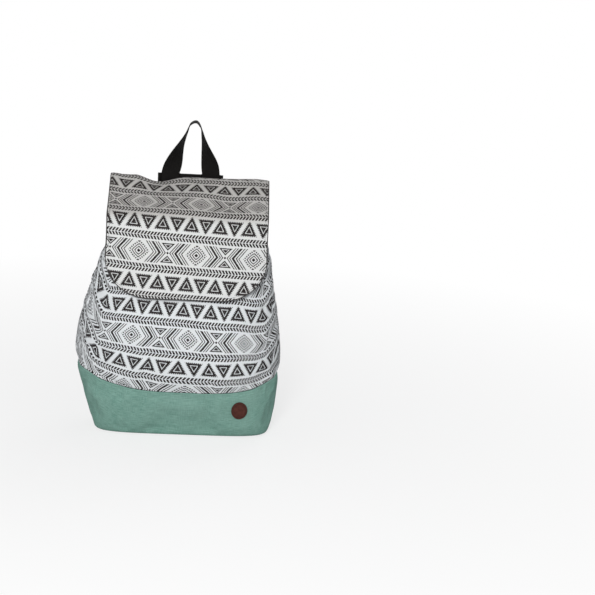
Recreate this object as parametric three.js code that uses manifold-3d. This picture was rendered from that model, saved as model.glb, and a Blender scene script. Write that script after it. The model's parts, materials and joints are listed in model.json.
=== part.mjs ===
// A convertible canvas backpack: a soft pouch with a fold-over flap, a straight zip under the flap,
// and one webbing strap that makes both the carrying loop on top and the two shoulder runs behind.
// Millimetres, +Z up, front of the bag towards -Y, +X to the right seen from the front.
// The origin is on the floor below the middle of the whole bag.

import * as THREE from 'three';
import { mergeVertices } from 'three/addons/utils/BufferGeometryUtils.js';
import Module from 'manifold-3d';

const wasm = await Module();
wasm.setup();

// Driving dimensions of the pouch.
const baseWidth = 284;
const baseDepth = 104;
const bellyWidth = 332;
const bellyDepth = 162;
const bellyHeight = 148;
const slump = 9; // how much further the left side hangs out than the right at the belly
const mouthWidth = 248;
const mouthDepth = 78;
const mouthFrontHeight = 358;
const mouthBackHeight = 402;
const seamSideHeight = 108; // height at the sides of the seam between the upper and lower cloth
const seamDip = 25; // how much lower that seam runs at the front and back
const bottomEdgeRadius = 9;
const tuckDepth = 9; // the inward fold of each side below the mouth
const canvasThickness = 2.2;
const liningThickness = 1.2;
const clothGap = 0.35;
const liningGap = 2.4;

// The flap.
const flapWidth = 256;
const flapHemHeight = 240;
const flapFoldHeight = 419;
const flapEaveHeight = 369;
const flapBackHeight = 388;
const flapThickness = 1.8;
const flapLiningThickness = 0.9;
const flapEase = 2.2; // air between the flap's lining and the pouch
const flapCornerWidth = 72;
const flapCornerHeight = 60;
const flapWave = 2.4; // height of the soft waves across the roof
const flapEdgeBend = 11; // how far the side edges of the hem bend back round the pouch

// The webbing and its hardware.
const webbingWidth = 29;
const webbingThickness = 1.6;
const legSpread = 33; // from the middle of the bag to the middle of each strap leg in the band
const loopRise = 94;
const bandHeight = 27;
const bandTop = 424;
const bandEnd = 5;
const wireRadius = 1.75;
const ringWidth = 34;
const ringLength = 19;
const tabThickness = 1.3;
const tabLength = 20;
const lowerTabInset = 62; // from the widest part of the belly in to the middle of each lower tab
const lowerTabReach = bellyWidth / 2 - lowerTabInset;
const lowerTabHeight = 46;
const hookInnerRadius = 7;
const hookWire = 4;
const hookBarHeight = 41; // from the hooked ring's wire to the strap bar
const frameWidth = 40;
const frameBar = 4;
const slotClearance = 1.7; // between the webbing's edge and the side of a slot
const pinRadius = 0.85;
const adjusterThickness = 2.5;
const adjusterReach = 12.25; // from the middle bar of the slide adjuster to its outer edge
const runBow = 38.5; // how far a shoulder run stands off the straight line from hook to band
const runFlare = 9; // how far it bows to the side
const runningGap = 0.12;
const seatGap = 0.3;
const adjusterAlongRun = 150; // from the strap bar of the hook to the middle of the slide adjuster
const sewnTail = 36; // the right run's end, folded round its hook and sewn down

const topRingWidth = 29;
const topRingLength = 15;
const topRingInset = 22; // from the side of the mouth to the top ring's bar
const topTabLength = 14;

// The zip.
const tapeThickness = 1.1;
const toothPitch = 5;
const toothWidth = 2.1;
const toothReach = 1.5;
const zipStartRoom = 24; // from the left side of the mouth to the first teeth
const zipEndRoom = 58; // from the last teeth to the right side of the mouth
const chainLeft = zipStartRoom - mouthWidth / 2;
const chainRight = mouthWidth / 2 - zipEndRoom;
const sliderLength = 12;
const sliderWidth = 10;
const pullLength = 20;

// The patch.
const patchRadius = 16;
const patchThickness = 1.8;
const patchSide = 95;
const patchHeight = 54;

// Facet counts.
const aroundPouch = 52;
const wireSides = 6;

const colours = {
  print: 0x9a9896, canvas: 0x6f9086, lining: 0x35363a, webbing: 0x15130f, leather: 0x4a2c26,
  nickel: 0xb9bbbd, tape: 0x1a1a1c,
};
const finishes = {
  print: { color: colours.print, roughness: 0.85, metalness: 0 },
  canvas: { color: colours.canvas, roughness: 0.92, metalness: 0 },
  lining: { color: colours.lining, roughness: 0.8, metalness: 0 },
  webbing: { color: colours.webbing, roughness: 0.7, metalness: 0 },
  leather: { color: colours.leather, roughness: 0.55, metalness: 0 },
  nickel: { color: colours.nickel, roughness: 0.25, metalness: 1 },
  tape: { color: colours.tape, roughness: 0.8, metalness: 0 },
};

const clamp01 = (value) => Math.min(1, Math.max(0, value));
const smooth = (value) => {
  const part = clamp01(value);
  return part * part * (3 - 2 * part);
};
const mix = (from, to, part) => from + (to - from) * part;

// A smooth curve of height through a few named stations, level at its two ends.
function throughStations(stations) {
  const slopes = stations.map((station, index) => {
    const before = stations[Math.max(0, index - 1)];
    const after = stations[Math.min(stations.length - 1, index + 1)];
    return (after[1] - before[1]) / (after[0] - before[0]);
  });
  return (height) => {
    let index = 0;
    while (index < stations.length - 2 && height > stations[index + 1][0]) index += 1;
    const [lowHeight, lowValue] = stations[index];
    const [highHeight, highValue] = stations[index + 1];
    const span = highHeight - lowHeight;
    const part = Math.min(1.2, Math.max(-0.2, (height - lowHeight) / span));
    const square = part * part;
    const cube = square * part;
    return (2 * cube - 3 * square + 1) * lowValue + (cube - 2 * square + part) * span * slopes[index]
      + (3 * square - 2 * cube) * highValue + (cube - square) * span * slopes[index + 1];
  };
}

// The pouch's reach to each side at every height: narrow base, full belly, flat mouth.
const seamMiddle = seamSideHeight - seamDip;
const shoulderHeight = mix(bellyHeight, mouthFrontHeight, 0.6);
const halfWidth = throughStations([
  [0, baseWidth / 2 + 2],
  [bellyHeight * 0.5, mix(baseWidth, bellyWidth, 0.66) / 2],
  [bellyHeight, bellyWidth / 2],
  [shoulderHeight, mix(bellyWidth, mouthWidth, 0.48) / 2],
  [mouthFrontHeight, mouthWidth / 2 + 2],
  [mouthBackHeight + 20, mouthWidth / 2 - 4],
]);
const reachFront = throughStations([
  [0, baseDepth * 0.51],
  [seamMiddle, bellyDepth * 0.495],
  [bellyHeight, bellyDepth * 0.54],
  [shoulderHeight, mix(bellyDepth, mouthDepth, 0.45) * 0.57],
  [mouthFrontHeight, mouthDepth * 0.66],
  [mouthBackHeight + 20, mouthDepth * 0.5],
]);
const reachBack = throughStations([
  [0, baseDepth * 0.49],
  [bellyHeight, bellyDepth * 0.45],
  [shoulderHeight, mix(bellyDepth, mouthDepth, 0.5) * 0.45],
  [mouthBackHeight, mouthDepth * 0.34],
  [mouthBackHeight + 20, mouthDepth * 0.33],
]);
const squareness = throughStations([
  [0, 4.6],
  [bellyHeight, 3.0],
  [mouthFrontHeight, 3.3],
  [mouthBackHeight + 20, 3.4],
]);
const sideSlump = (height) => slump * smooth(height / bellyHeight)
  * smooth((mouthFrontHeight - height) / (mouthFrontHeight - bellyHeight));
const sideTuck = (height) => {
  const low = bellyHeight + 40;
  const part = clamp01((height - low) / (mouthBackHeight - low));
  return tuckDepth * Math.sin(Math.PI * part) ** 2;
};

// A point on the pouch: angle 0 is the right side, a quarter turn the back, three quarters the front.
function pouchPoint(angle, height, inset = 0) {
  const power = 2 / squareness(height);
  const cosine = Math.cos(angle);
  const sine = Math.sin(angle);
  const lean = cosine > 0 ? -sideSlump(height) : sideSlump(height);
  const depth = (sine > 0 ? reachBack(height) : reachFront(height)) - inset;
  const y = Math.sign(sine) * depth * Math.abs(sine) ** power;
  const tuck = sideTuck(height) * Math.exp(-((y / 17) ** 2));
  const x = Math.sign(cosine) * ((halfWidth(height) + lean - inset) * Math.abs(cosine) ** power - tuck);
  return new THREE.Vector3(x, y, height);
}

// The mouth lies in one slanted plane, lower at the front.
const mouthFront = -reachFront(mouthFrontHeight);
const mouthBack = reachBack(mouthBackHeight);
const mouthSlope = (mouthBackHeight - mouthFrontHeight) / (mouthBack - mouthFront);
const mouthAngle = Math.atan(mouthSlope);
const mouthPlaneHeight = (y) => mouthFrontHeight + (y - mouthFront) * mouthSlope;
function mouthHeight(angle, drop = 0, inset = 0) {
  let height = (mouthFrontHeight + mouthBackHeight) / 2;
  for (let round = 0; round < 12; round += 1) {
    height = mouthPlaneHeight(pouchPoint(angle, height, inset).y) - drop;
  }
  return height;
}
const seamHeight = (angle) => seamSideHeight - seamDip * Math.abs(Math.sin(angle)) ** 1.5;
const bottomInset = (height) => {
  if (height >= bottomEdgeRadius) return 0;
  return bottomEdgeRadius - Math.sqrt(bottomEdgeRadius ** 2 - (bottomEdgeRadius - height) ** 2);
};

// Mesh helpers: every solid is built as rows of points joined by faces.
function geometryOf(points, faces) {
  const geometry = new THREE.BufferGeometry();
  const places = points.flatMap((point) => [point.x, point.y, point.z]);
  geometry.setAttribute('position', new THREE.Float32BufferAttribute(places, 3));
  geometry.setIndex(faces.flat());
  if (signedVolume(points, faces) < 0) geometry.setIndex(faces.flatMap(([a, b, c]) => [a, c, b]));
  return geometry;
}

function signedVolume(points, faces) {
  return faces.reduce((sum, [a, b, c]) => (
    sum + points[a].dot(new THREE.Vector3().crossVectors(points[b], points[c])) / 6), 0);
}

function quad(faces, a, b, c, d) {
  faces.push([a, b, c], [a, c, d]);
}

// A tube through rows of ring points. It is closed by end caps, or joined into a loop.
function tube(rows, joined = false) {
  const count = rows[0].length;
  const points = rows.flat();
  const faces = [];
  const last = joined ? rows.length : rows.length - 1;
  for (let row = 0; row < last; row += 1) {
    const here = row * count;
    const next = ((row + 1) % rows.length) * count;
    for (let i = 0; i < count; i += 1) {
      const j = (i + 1) % count;
      quad(faces, here + i, here + j, next + j, next + i);
    }
  }
  if (!joined) {
    const top = (rows.length - 1) * count;
    for (let i = 1; i < count - 1; i += 1) {
      faces.push([0, i + 1, i], [top, top + i, top + i + 1]);
    }
  }
  return geometryOf(points, faces);
}

// A cup: outer rings from the floor up, inner rings from the rim down, and a fan on each floor.
function cup(outer, inner) {
  const rings = [...outer, ...[...inner].reverse()];
  const count = outer[0].length;
  const points = rings.flat();
  const faces = [];
  for (let row = 0; row < rings.length - 1; row += 1) {
    for (let i = 0; i < count; i += 1) {
      const j = (i + 1) % count;
      quad(faces, row * count + i, row * count + j, (row + 1) * count + j, (row + 1) * count + i);
    }
  }
  const middle = (ring) => ring.reduce((sum, p) => sum.add(p), new THREE.Vector3()).divideScalar(count);
  const outerMiddle = points.push(middle(rings[0])) - 1;
  const innerMiddle = points.push(middle(rings[rings.length - 1])) - 1;
  const top = (rings.length - 1) * count;
  for (let i = 0; i < count; i += 1) {
    const j = (i + 1) % count;
    faces.push([outerMiddle, j, i], [innerMiddle, top + i, top + j]);
  }
  return geometryOf(points, faces);
}

// A sheet with a front and a back: place(u, v, side) gives the point on side 0 or side 1.
function sheet(place, us, vs) {
  const points = [];
  const faces = [];
  const index = (side, i, j) => (side * vs.length + j) * us.length + i;
  for (const side of [0, 1]) {
    for (const v of vs) {
      for (const u of us) points.push(place(u, v, side));
    }
  }
  for (let j = 0; j < vs.length - 1; j += 1) {
    for (let i = 0; i < us.length - 1; i += 1) {
      quad(faces, index(0, i, j), index(0, i + 1, j), index(0, i + 1, j + 1), index(0, i, j + 1));
      quad(faces, index(1, i, j), index(1, i, j + 1), index(1, i + 1, j + 1), index(1, i + 1, j));
    }
  }
  const lastU = us.length - 1;
  const lastV = vs.length - 1;
  for (let i = 0; i < lastU; i += 1) {
    quad(faces, index(0, i, 0), index(1, i, 0), index(1, i + 1, 0), index(0, i + 1, 0));
    quad(faces, index(0, i, lastV), index(0, i + 1, lastV), index(1, i + 1, lastV), index(1, i, lastV));
  }
  for (let j = 0; j < lastV; j += 1) {
    quad(faces, index(0, 0, j), index(0, 0, j + 1), index(1, 0, j + 1), index(1, 0, j));
    quad(faces, index(0, lastU, j), index(1, lastU, j), index(1, lastU, j + 1), index(0, lastU, j + 1));
  }
  return geometryOf(points, faces);
}

const steps = (count, from = 0, to = 1) => (
  Array.from({ length: count + 1 }, (_, index) => mix(from, to, index / count)));
const turnSteps = (count) => Array.from({ length: count }, (_, index) => (index / count) * 2 * Math.PI);

// Solids for joining and cutting.
function solid(geometry) {
  const bare = geometry.clone();
  bare.deleteAttribute('normal');
  bare.deleteAttribute('uv');
  const merged = mergeVertices(bare, 1e-4);
  return new wasm.Manifold(new wasm.Mesh({
    numProp: 3,
    vertProperties: Float32Array.from(merged.getAttribute('position').array),
    triVerts: Uint32Array.from(merged.getIndex().array),
  }));
}

function geometryFrom(manifold) {
  const { vertProperties, triVerts } = manifold.getMesh();
  const geometry = new THREE.BufferGeometry();
  geometry.setAttribute('position', new THREE.BufferAttribute(Float32Array.from(vertProperties), 3));
  geometry.setIndex(new THREE.BufferAttribute(Uint32Array.from(triVerts), 1));
  return geometry;
}

const joinAll = (...geometries) => geometries.map(solid).reduce((sum, next) => sum.add(next));
const extrude = (shape, depth, curveSegments = 8) => {
  const geometry = new THREE.ExtrudeGeometry(shape, { depth, bevelEnabled: false, curveSegments });
  return geometry.translate(0, 0, -depth / 2);
};

// The upper cloth of the pouch, from the seam to the mouth.
function upperPouch() {
  const heights = [0, 0.1, 0.22, 0.35, 0.48, 0.6, 0.71, 0.81, 0.91, 1];
  const rows = turnSteps(aroundPouch).map((angle) => {
    const low = seamHeight(angle) + clothGap;
    const high = mouthHeight(angle);
    const wall = (inset) => heights.map((part) => pouchPoint(angle, mix(low, high, part), inset));
    return [...wall(0), ...wall(canvasThickness).reverse()];
  });
  return tube(rows, true);
}

// The lower cloth: one boxed bottom with a rounded edge.
function lowerPouch() {
  const wall = (inset, floor) => [0, 0.04, 0.1, 0.28, 0.5, 0.76, 1].map((part) => (
    turnSteps(aroundPouch).map((angle) => {
      const height = mix(floor, seamHeight(angle), part);
      return pouchPoint(angle, height, inset + bottomInset(height - floor));
    })));
  return cup(wall(0, 0), wall(canvasThickness, canvasThickness));
}

// The lining hangs inside both, up to the zip tapes.
const tapeDrop = tapeThickness + seatGap + 1.2;
function lining() {
  const liningInset = canvasThickness + liningGap;
  const wall = (inset, floor) => [0, 0.03, 0.2, 0.42, 0.55, 0.68, 0.8, 0.91, 1].map((part) => (
    turnSteps(aroundPouch).map((angle) => {
      const height = mix(floor, mouthHeight(angle, tapeDrop + seatGap, inset), part);
      return pouchPoint(angle, height, inset + bottomInset(height - floor));
    })));
  const inner = liningInset + liningThickness;
  return cup(wall(liningInset, liningInset), wall(inner, inner));
}

// The flap: sewn to the back, over the fold, down the roof and over the eave to the hem.
const flapInside = flapEase + clothGap;
const flapBack = mouthBack + clothGap;
const flapRoute = new THREE.CatmullRomCurve3([
  new THREE.Vector3(0, Math.max(reachBack(flapBackHeight), mouthBack + flapEase) + 2 * clothGap, flapBackHeight),
  new THREE.Vector3(0, flapBack + flapInside, mouthBackHeight - 6),
  new THREE.Vector3(0, flapBack + flapInside - 0.8, flapFoldHeight - 8),
  new THREE.Vector3(0, flapBack - 6, flapFoldHeight - 1.5),
  new THREE.Vector3(0, flapBack - 22, mix(flapFoldHeight, flapEaveHeight, 0.2)),
  new THREE.Vector3(0, mix(flapBack, mouthFront, 0.72), mix(flapFoldHeight, flapEaveHeight, 0.72)),
  new THREE.Vector3(0, mouthFront + 2, flapEaveHeight),
  new THREE.Vector3(0, -reachFront(flapEaveHeight - 18) - flapInside - 2.5, flapEaveHeight - 16),
  ...[0.3, 0.55, 0.8, 1].map((part) => {
    const height = mix(flapEaveHeight, flapHemHeight, part);
    return new THREE.Vector3(0, -reachFront(height) - flapInside - 1, height);
  }),
], false, 'centripetal');
const flapRouteLength = flapRoute.getLength();

// Across the flap: flat in the middle, bending back a little towards the edges with the pouch below.
function flapPoint(u, v, offset) {
  const hemLift = flapCornerHeight * (1 - Math.sqrt(Math.max(0, 1 - cornerShare(u) ** 2)));
  const along = v * (flapRouteLength - hemLift) / flapRouteLength;
  const point = flapRoute.getPointAt(along);
  const tangent = flapRoute.getTangentAt(along);
  const normal = new THREE.Vector3(0, -tangent.z, tangent.y).multiplyScalar(-1);
  const front = smooth((flapEaveHeight + 6 - point.z) / 30) * (tangent.z < 0 ? 1 : 0);
  const bend = front * flapEdgeBend * Math.abs(u) ** 3.2;
  const downRoof = (flapFoldHeight + 4 - point.z) / (flapFoldHeight - flapEaveHeight + 12);
  const roof = Math.sin(Math.PI * clamp01(downRoof)) * clamp01(-1.3 * tangent.y);
  const wave = flapWave * roof * (Math.cos(u * 5.2 + 0.7) + 0.6 * Math.sin(u * 9.1));
  return new THREE.Vector3(
    (u * flapWidth) / 2,
    point.y + bend + normal.y * (offset + wave),
    point.z + normal.z * (offset + wave),
  );
}
function cornerShare(u) {
  const fromMiddle = Math.abs(u) * flapWidth / 2;
  const start = flapWidth / 2 - flapCornerWidth;
  return clamp01((fromMiddle - start) / flapCornerWidth);
}
const acrossFlap = (count) => steps(count, -Math.PI / 2, Math.PI / 2).map((turn) => Math.sin(turn));
function flapCloth(near, far) {
  return sheet((u, v, side) => flapPoint(u, v, side ? far : near), acrossFlap(16), steps(23));
}

// The strap. Each shoulder run leaves its hook, climbs behind the back and goes up through the band.
const backAtBand = flapBack + flapInside + flapThickness + flapLiningThickness + 2 * clothGap;
const legDepth = backAtBand + seatGap + webbingThickness / 2;
const bandMiddle = bandTop - bandHeight / 2;
const sideways = (side, vector) => new THREE.Vector3(vector.x * side, vector.y, vector.z);
const lowerTabSurface = pouchBack(lowerTabReach, lowerTabHeight);
const eyeInner = wireRadius + 0.25;
const eyeOuter = eyeInner + tabThickness;
const tabSlope = (pouchBack(lowerTabReach + 1, lowerTabHeight) - pouchBack(lowerTabReach - 1, lowerTabHeight)) / 2;
const tabLevel = new THREE.Vector3(1, tabSlope, 0).normalize();
const tabOutward = new THREE.Vector3(-tabSlope, 1, 0).normalize();
const ringPull = tabOutward.clone().multiplyScalar(0.62).add(new THREE.Vector3(0, 0, 0.78)).normalize();
const ringBarPoint = new THREE.Vector3(lowerTabReach, lowerTabSurface, lowerTabHeight)
  .addScaledVector(tabOutward, eyeOuter + 2 * seatGap);
const ringTopPoint = ringBarPoint.clone().addScaledVector(ringPull, ringLength);
const hookBarPoint = ringTopPoint.clone().addScaledVector(ringPull, hookBarHeight);

function pouchBack(x, height) {
  const power = squareness(height);
  const half = halfWidth(height);
  return reachBack(height) * (1 - Math.min(1, Math.abs(x) / half) ** power) ** (1 / power);
}

// The middle line of a shoulder run on the right, from the hook's strap bar up to the band.
const aboveHook = hookBarPoint.clone().addScaledVector(ringPull, 22);
const belowBand = new THREE.Vector3(legSpread + 1.5, legDepth + 5.5, bandTop - bandHeight - 16);
const alongBow = [0.11, 0.26, 0.42, 0.6, 0.78, 0.93].map((part) => {
  const point = aboveHook.clone().lerp(belowBand, part);
  point.x += runFlare * Math.sin(Math.PI * part ** 1.3);
  point.y += runBow * Math.sin(Math.PI * part ** 0.85);
  return point;
});
const runRoute = new THREE.CatmullRomCurve3([
  hookBarPoint.clone(),
  aboveHook,
  ...alongBow,
  belowBand,
  new THREE.Vector3(legSpread, legDepth + 0.2, bandTop - bandHeight - 2),
  new THREE.Vector3(legSpread, legDepth, bandMiddle - 7),
  new THREE.Vector3(legSpread, legDepth, bandMiddle),
], false, 'centripetal');
const runLength = runRoute.getLength();

function runFrame(along, side) {
  const part = clamp01(along / runLength);
  const point = sideways(side, runRoute.getPointAt(part));
  const tangent = sideways(side, runRoute.getTangentAt(part));
  const across = new THREE.Vector3(0, 1, 0).cross(tangent).normalize();
  const outward = new THREE.Vector3().crossVectors(tangent, across).normalize();
  if (outward.y < 0) outward.negate();
  return { point, tangent, across, outward };
}
const runPoint = (along, offset, side) => {
  const { point, tangent, outward } = runFrame(Math.max(0, along), side);
  return point.addScaledVector(outward, offset).addScaledVector(tangent, Math.min(0, along));
};

// Two layers lie on each other below the adjuster, and spread to pass round the hook's bar.
const foldRadius = frameBar * Math.SQRT1_2 + seatGap + 0.1 + webbingThickness / 2;
const layerOffset = webbingThickness / 2 + 0.2;
const layerSpread = (along) => mix(foldRadius, layerOffset, smooth(along / 16));
const singleOffset = (along) => layerSpread(along) * smooth((runLength - 45 - along) / 60);
const adjusterPlane = layerOffset + webbingThickness / 2 + 0.45 + adjusterThickness / 2;
const wrapRadius = adjusterThickness * Math.SQRT1_2 + 0.25 + webbingThickness / 2;
const overWrap = adjusterPlane + wrapRadius + webbingThickness + 0.35;
const overAdjuster = (along) => {
  const share = clamp01(Math.abs(along - adjusterAlongRun) / 9.6);
  return mix(layerOffset, overWrap, Math.cos((share * Math.PI) / 2) ** 2);
};

function layerPoints(side, from, to, offsetAt, count) {
  return steps(count, from, to).map((along) => runPoint(along, offsetAt(along), side));
}
const roundHook = (side, direction) => steps(8, 0, Math.PI).slice(1, -1).map((turn) => (
  runPoint(-Math.sin(turn) * foldRadius, direction * Math.cos(turn) * foldRadius, side)));

// The carrying loop above the fold: each leg starts flat to the back and turns edge-on at the top.
const loopRoute = [
  [-legSpread, legDepth, bandMiddle + 3],
  [-legSpread, legDepth, bandTop],
  [-legSpread + 4, legDepth - 1, bandTop + 14],
  [-20, legDepth - 2, bandTop + 42],
  [-8.5, legDepth - 3, bandTop + 68],
  [-2, legDepth - 3, bandTop + loopRise - 11.5],
  [7, legDepth - 3, bandTop + loopRise - 8],
  [14, legDepth - 3, bandTop + loopRise - 16],
  [19, legDepth - 3, bandTop + 60],
  [25, legDepth - 2, bandTop + 38],
  [legSpread - 2, legDepth - 1, bandTop + 14],
  [legSpread, legDepth, bandTop],
  [legSpread, legDepth, bandMiddle + 3],
].map((place) => new THREE.Vector3(...place));
const loopCurve = new THREE.CatmullRomCurve3(loopRoute, false, 'centripetal');
const loopFlatEnd = 0.09; // the share of the loop at each end that isn't twisted yet
const loopTwist = (part) => {
  const fromTop = clamp01(Math.abs(part - 0.5) / (0.5 - loopFlatEnd));
  return (Math.PI / 2) * (1 + Math.sign(part - 0.5) * fromTop ** 2);
};

// The whole strap as stations of a middle line with the direction across the webbing.
function strapStations() {
  const stations = [];
  const addRun = (points, side, flip) => points.forEach((point, index) => {
    stations.push({ point, across: acrossAt(points, index, side).multiplyScalar(flip) });
  });
  const leftTop = layerPoints(-1, 16, adjusterAlongRun - 12, layerSpread, 12);
  const overPoints = layerPoints(-1, adjusterAlongRun - 11, adjusterAlongRun + 11, overAdjuster, 12);
  const leftRest = layerPoints(-1, adjusterAlongRun + 14, runLength, singleOffset, 16);
  const wrap = steps(9, -Math.PI / 2, Math.PI * 0.72).map((turn) => runPoint(
    adjusterAlongRun + Math.cos(turn) * wrapRadius, adjusterPlane + Math.sin(turn) * wrapRadius, -1));
  const backLow = -layerOffset;
  const intoWrap = steps(4, 0, 0.8).map((part) => runPoint(
    mix(adjusterAlongRun - 13, adjusterAlongRun, part),
    mix(backLow, adjusterPlane - wrapRadius, smooth(part)), -1));
  const leftBack = layerPoints(-1, 16, adjusterAlongRun - 16, (s) => -layerSpread(s), 10);
  const leftSpread = (direction) => layerPoints(-1, 0, 12, (s) => direction * layerSpread(s), 3);
  addRun([
    ...[...wrap].reverse(), ...[...intoWrap].reverse(), ...leftBack.reverse(), ...leftSpread(-1).reverse(),
    ...roundHook(-1, -1), ...leftSpread(1), ...leftTop, ...overPoints, ...leftRest,
  ], -1, 1);
  steps(28).forEach((part) => {
    const turn = loopTwist(part);
    stations.push({
      point: loopCurve.getPointAt(part),
      across: new THREE.Vector3(Math.cos(turn), Math.sin(turn), 0),
      tangent: loopCurve.getTangentAt(part),
    });
  });
  const rightRest = layerPoints(1, runLength, 16, singleOffset, 24);
  const rightSpread = (direction) => layerPoints(1, 0, 12, (s) => direction * layerSpread(s), 3);
  const rightTail = layerPoints(1, 16, sewnTail, (s) => -layerSpread(s), 3);
  addRun([
    ...rightRest, ...rightSpread(1).reverse(), ...roundHook(1, 1), ...rightSpread(-1), ...rightTail,
  ], 1, -1);
  return stations;
}

// On a run the webbing lies flat to the back, so the direction across it is level with the bag.
function acrossAt(points, index, side) {
  const point = points[index];
  const nearest = steps(60).reduce((best, part) => (
    runRoute.getPointAt(part).distanceTo(sideways(side, point))
      < runRoute.getPointAt(best).distanceTo(sideways(side, point)) ? part : best), 0);
  const across = runFrame(nearest * runLength, side).across;
  return across.x > 0 ? across : across.negate();
}

function strap() {
  const stations = strapStations();
  const rows = stations.map(({ point, across, tangent }, index) => {
    const before = stations[Math.max(0, index - 1)].point;
    const after = stations[Math.min(stations.length - 1, index + 1)].point;
    const along = tangent ?? new THREE.Vector3().subVectors(after, before).normalize();
    const flat = across.clone().addScaledVector(along, -across.dot(along)).normalize();
    const face = new THREE.Vector3().crossVectors(along, flat);
    const corner = (w, t) => point.clone().addScaledVector(flat, (w * webbingWidth) / 2)
      .addScaledVector(face, (t * webbingThickness) / 2);
    return [corner(-1, -1), corner(1, -1), corner(1, 1), corner(-1, 1)];
  });
  return tube(rows);
}

// The band on the back: a strip sewn down at its ends and middle, with a channel for each leg.
function band() {
  const channel = webbingWidth / 2 + 0.8;
  const rise = webbingThickness + 3 * seatGap;
  const thick = webbingThickness;
  const inner = legSpread - channel;
  const outer = legSpread + channel;
  const under = [[outer + bandEnd, 0], [outer, 0], [outer, rise], [inner, rise], [inner, 0]];
  const over = [
    [outer + bandEnd, thick], [outer + thick, thick], [outer + thick, rise + thick],
    [inner - thick, rise + thick], [inner - thick, thick],
  ];
  const mirrored = (half) => [...half, ...[...half].reverse().map(([x, y]) => [-x, y])];
  const outline = [...mirrored(under), ...mirrored(over).reverse()];
  const shape = new THREE.Shape(outline.map(([x, y]) => new THREE.Vector2(x, backAtBand + y)));
  return extrude(shape, bandHeight).translate(0, 0, bandMiddle);
}

// Hardware, each modelled about the wire of its ring, with +Z along the pull and X along the bars.
function dRing(width, length) {
  const half = width / 2 - wireRadius;
  const straight = length * 0.35;
  const points = [
    ...steps(4, -half, half).map((x) => new THREE.Vector3(x, 0, -length)),
    new THREE.Vector3(half, 0, -length + straight),
    ...steps(14, 0, Math.PI).map((turn) => new THREE.Vector3(
      Math.cos(turn) * half, 0, -length + straight + Math.sin(turn) * (length - straight))).slice(1, -1),
    new THREE.Vector3(-half, 0, -length + straight),
  ];
  const rows = points.map((point, index) => {
    const before = points[(index + points.length - 1) % points.length];
    const after = points[(index + 1) % points.length];
    const tangent = new THREE.Vector3().subVectors(after, before).normalize();
    const side = new THREE.Vector3(0, 1, 0);
    const inward = new THREE.Vector3().crossVectors(side, tangent);
    return turnSteps(wireSides).map((turn) => point.clone()
      .addScaledVector(side, Math.cos(turn) * wireRadius)
      .addScaledVector(inward, Math.sin(turn) * wireRadius));
  });
  return tube(rows, true);
}

// A folded tab: an eye round the ring's bar and a sewn tail that lies flat on the cloth at -Y.
function tab(width, tail) {
  const shape = new THREE.Shape();
  const neckAcross = 2 * tabThickness - eyeOuter;
  shape.moveTo(-eyeOuter, -tail);
  shape.lineTo(neckAcross, -tail);
  shape.absarc(0, 0, eyeOuter, -Math.acos(neckAcross / eyeOuter), Math.PI, false);
  shape.closePath();
  const hole = new THREE.Path();
  hole.absarc(0, 0, eyeInner, 0, 2 * Math.PI, true);
  shape.holes.push(hole);
  return extrude(shape, width, 7).rotateY(Math.PI / 2).rotateX(Math.PI / 2);
}

// The swivel hook's own profile lies in its YZ plane, so that the ring's wire passes through it.
const bowlOuter = hookInnerRadius + hookWire;
const pivotAcross = hookInnerRadius + hookWire / 2 - 1;
const pivotHeight = hookInnerRadius + 11;
const noseHeight = 3;
const stemBottom = pivotHeight + 4;
const frameBottom = stemBottom + 0.5;
const bossHeight = 5.5;
const stemRadius = 1.7;
const headHeight = 1.8;
const turnedUp = (geometry) => geometry.rotateY(Math.PI / 2).rotateX(Math.PI / 2);

function hookBody() {
  const shape = new THREE.Shape();
  shape.moveTo(-3.6, stemBottom);
  shape.quadraticCurveTo(-bowlOuter, stemBottom - 2, -bowlOuter, pivotHeight - 9);
  shape.lineTo(-bowlOuter, 0);
  shape.absarc(0, 0, bowlOuter, Math.PI, 2 * Math.PI, false);
  shape.lineTo(bowlOuter, noseHeight - 1);
  shape.quadraticCurveTo(bowlOuter, noseHeight, bowlOuter - 1, noseHeight);
  shape.lineTo(hookInnerRadius, noseHeight);
  shape.lineTo(hookInnerRadius, 0);
  shape.absarc(0, 0, hookInnerRadius, 0, -Math.PI, true);
  shape.lineTo(-hookInnerRadius, pivotHeight - 9);
  shape.quadraticCurveTo(-hookInnerRadius, pivotHeight - 3, 0, pivotHeight - 2.4);
  shape.lineTo(pivotAcross - 3.7, pivotHeight - 1.2);
  shape.lineTo(pivotAcross - 3.7, stemBottom);
  shape.closePath();
  const tongue = new THREE.Shape();
  tongue.moveTo(pivotAcross - 5, pivotHeight + 2.6);
  tongue.lineTo(pivotAcross - 5, pivotHeight - 1.8);
  tongue.lineTo(pivotAcross, pivotHeight - 2.6);
  tongue.absarc(pivotAcross, pivotHeight, 2.6, -Math.PI / 2, Math.PI / 2, false);
  tongue.closePath();
  const hole = new THREE.Path();
  hole.absarc(pivotAcross, pivotHeight, pinRadius + runningGap, 0, 2 * Math.PI, true);
  tongue.holes.push(hole);
  const stemHeight = frameBottom + bossHeight + seatGap + headHeight - stemBottom + 1;
  const stem = new THREE.CylinderGeometry(stemRadius, stemRadius, stemHeight, 16)
    .rotateX(Math.PI / 2).translate(0, 0, stemBottom - 1 + stemHeight / 2);
  const head = new THREE.CylinderGeometry(stemRadius + 1.1, stemRadius + 1.1, headHeight, 16)
    .rotateX(Math.PI / 2).translate(0, 0, frameBottom + bossHeight + seatGap + headHeight / 2);
  const bowl = turnedUp(extrude(shape, hookWire, 6));
  return geometryFrom(joinAll(bowl, turnedUp(extrude(tongue, 1.6, 5)), stem, head));
}

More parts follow.
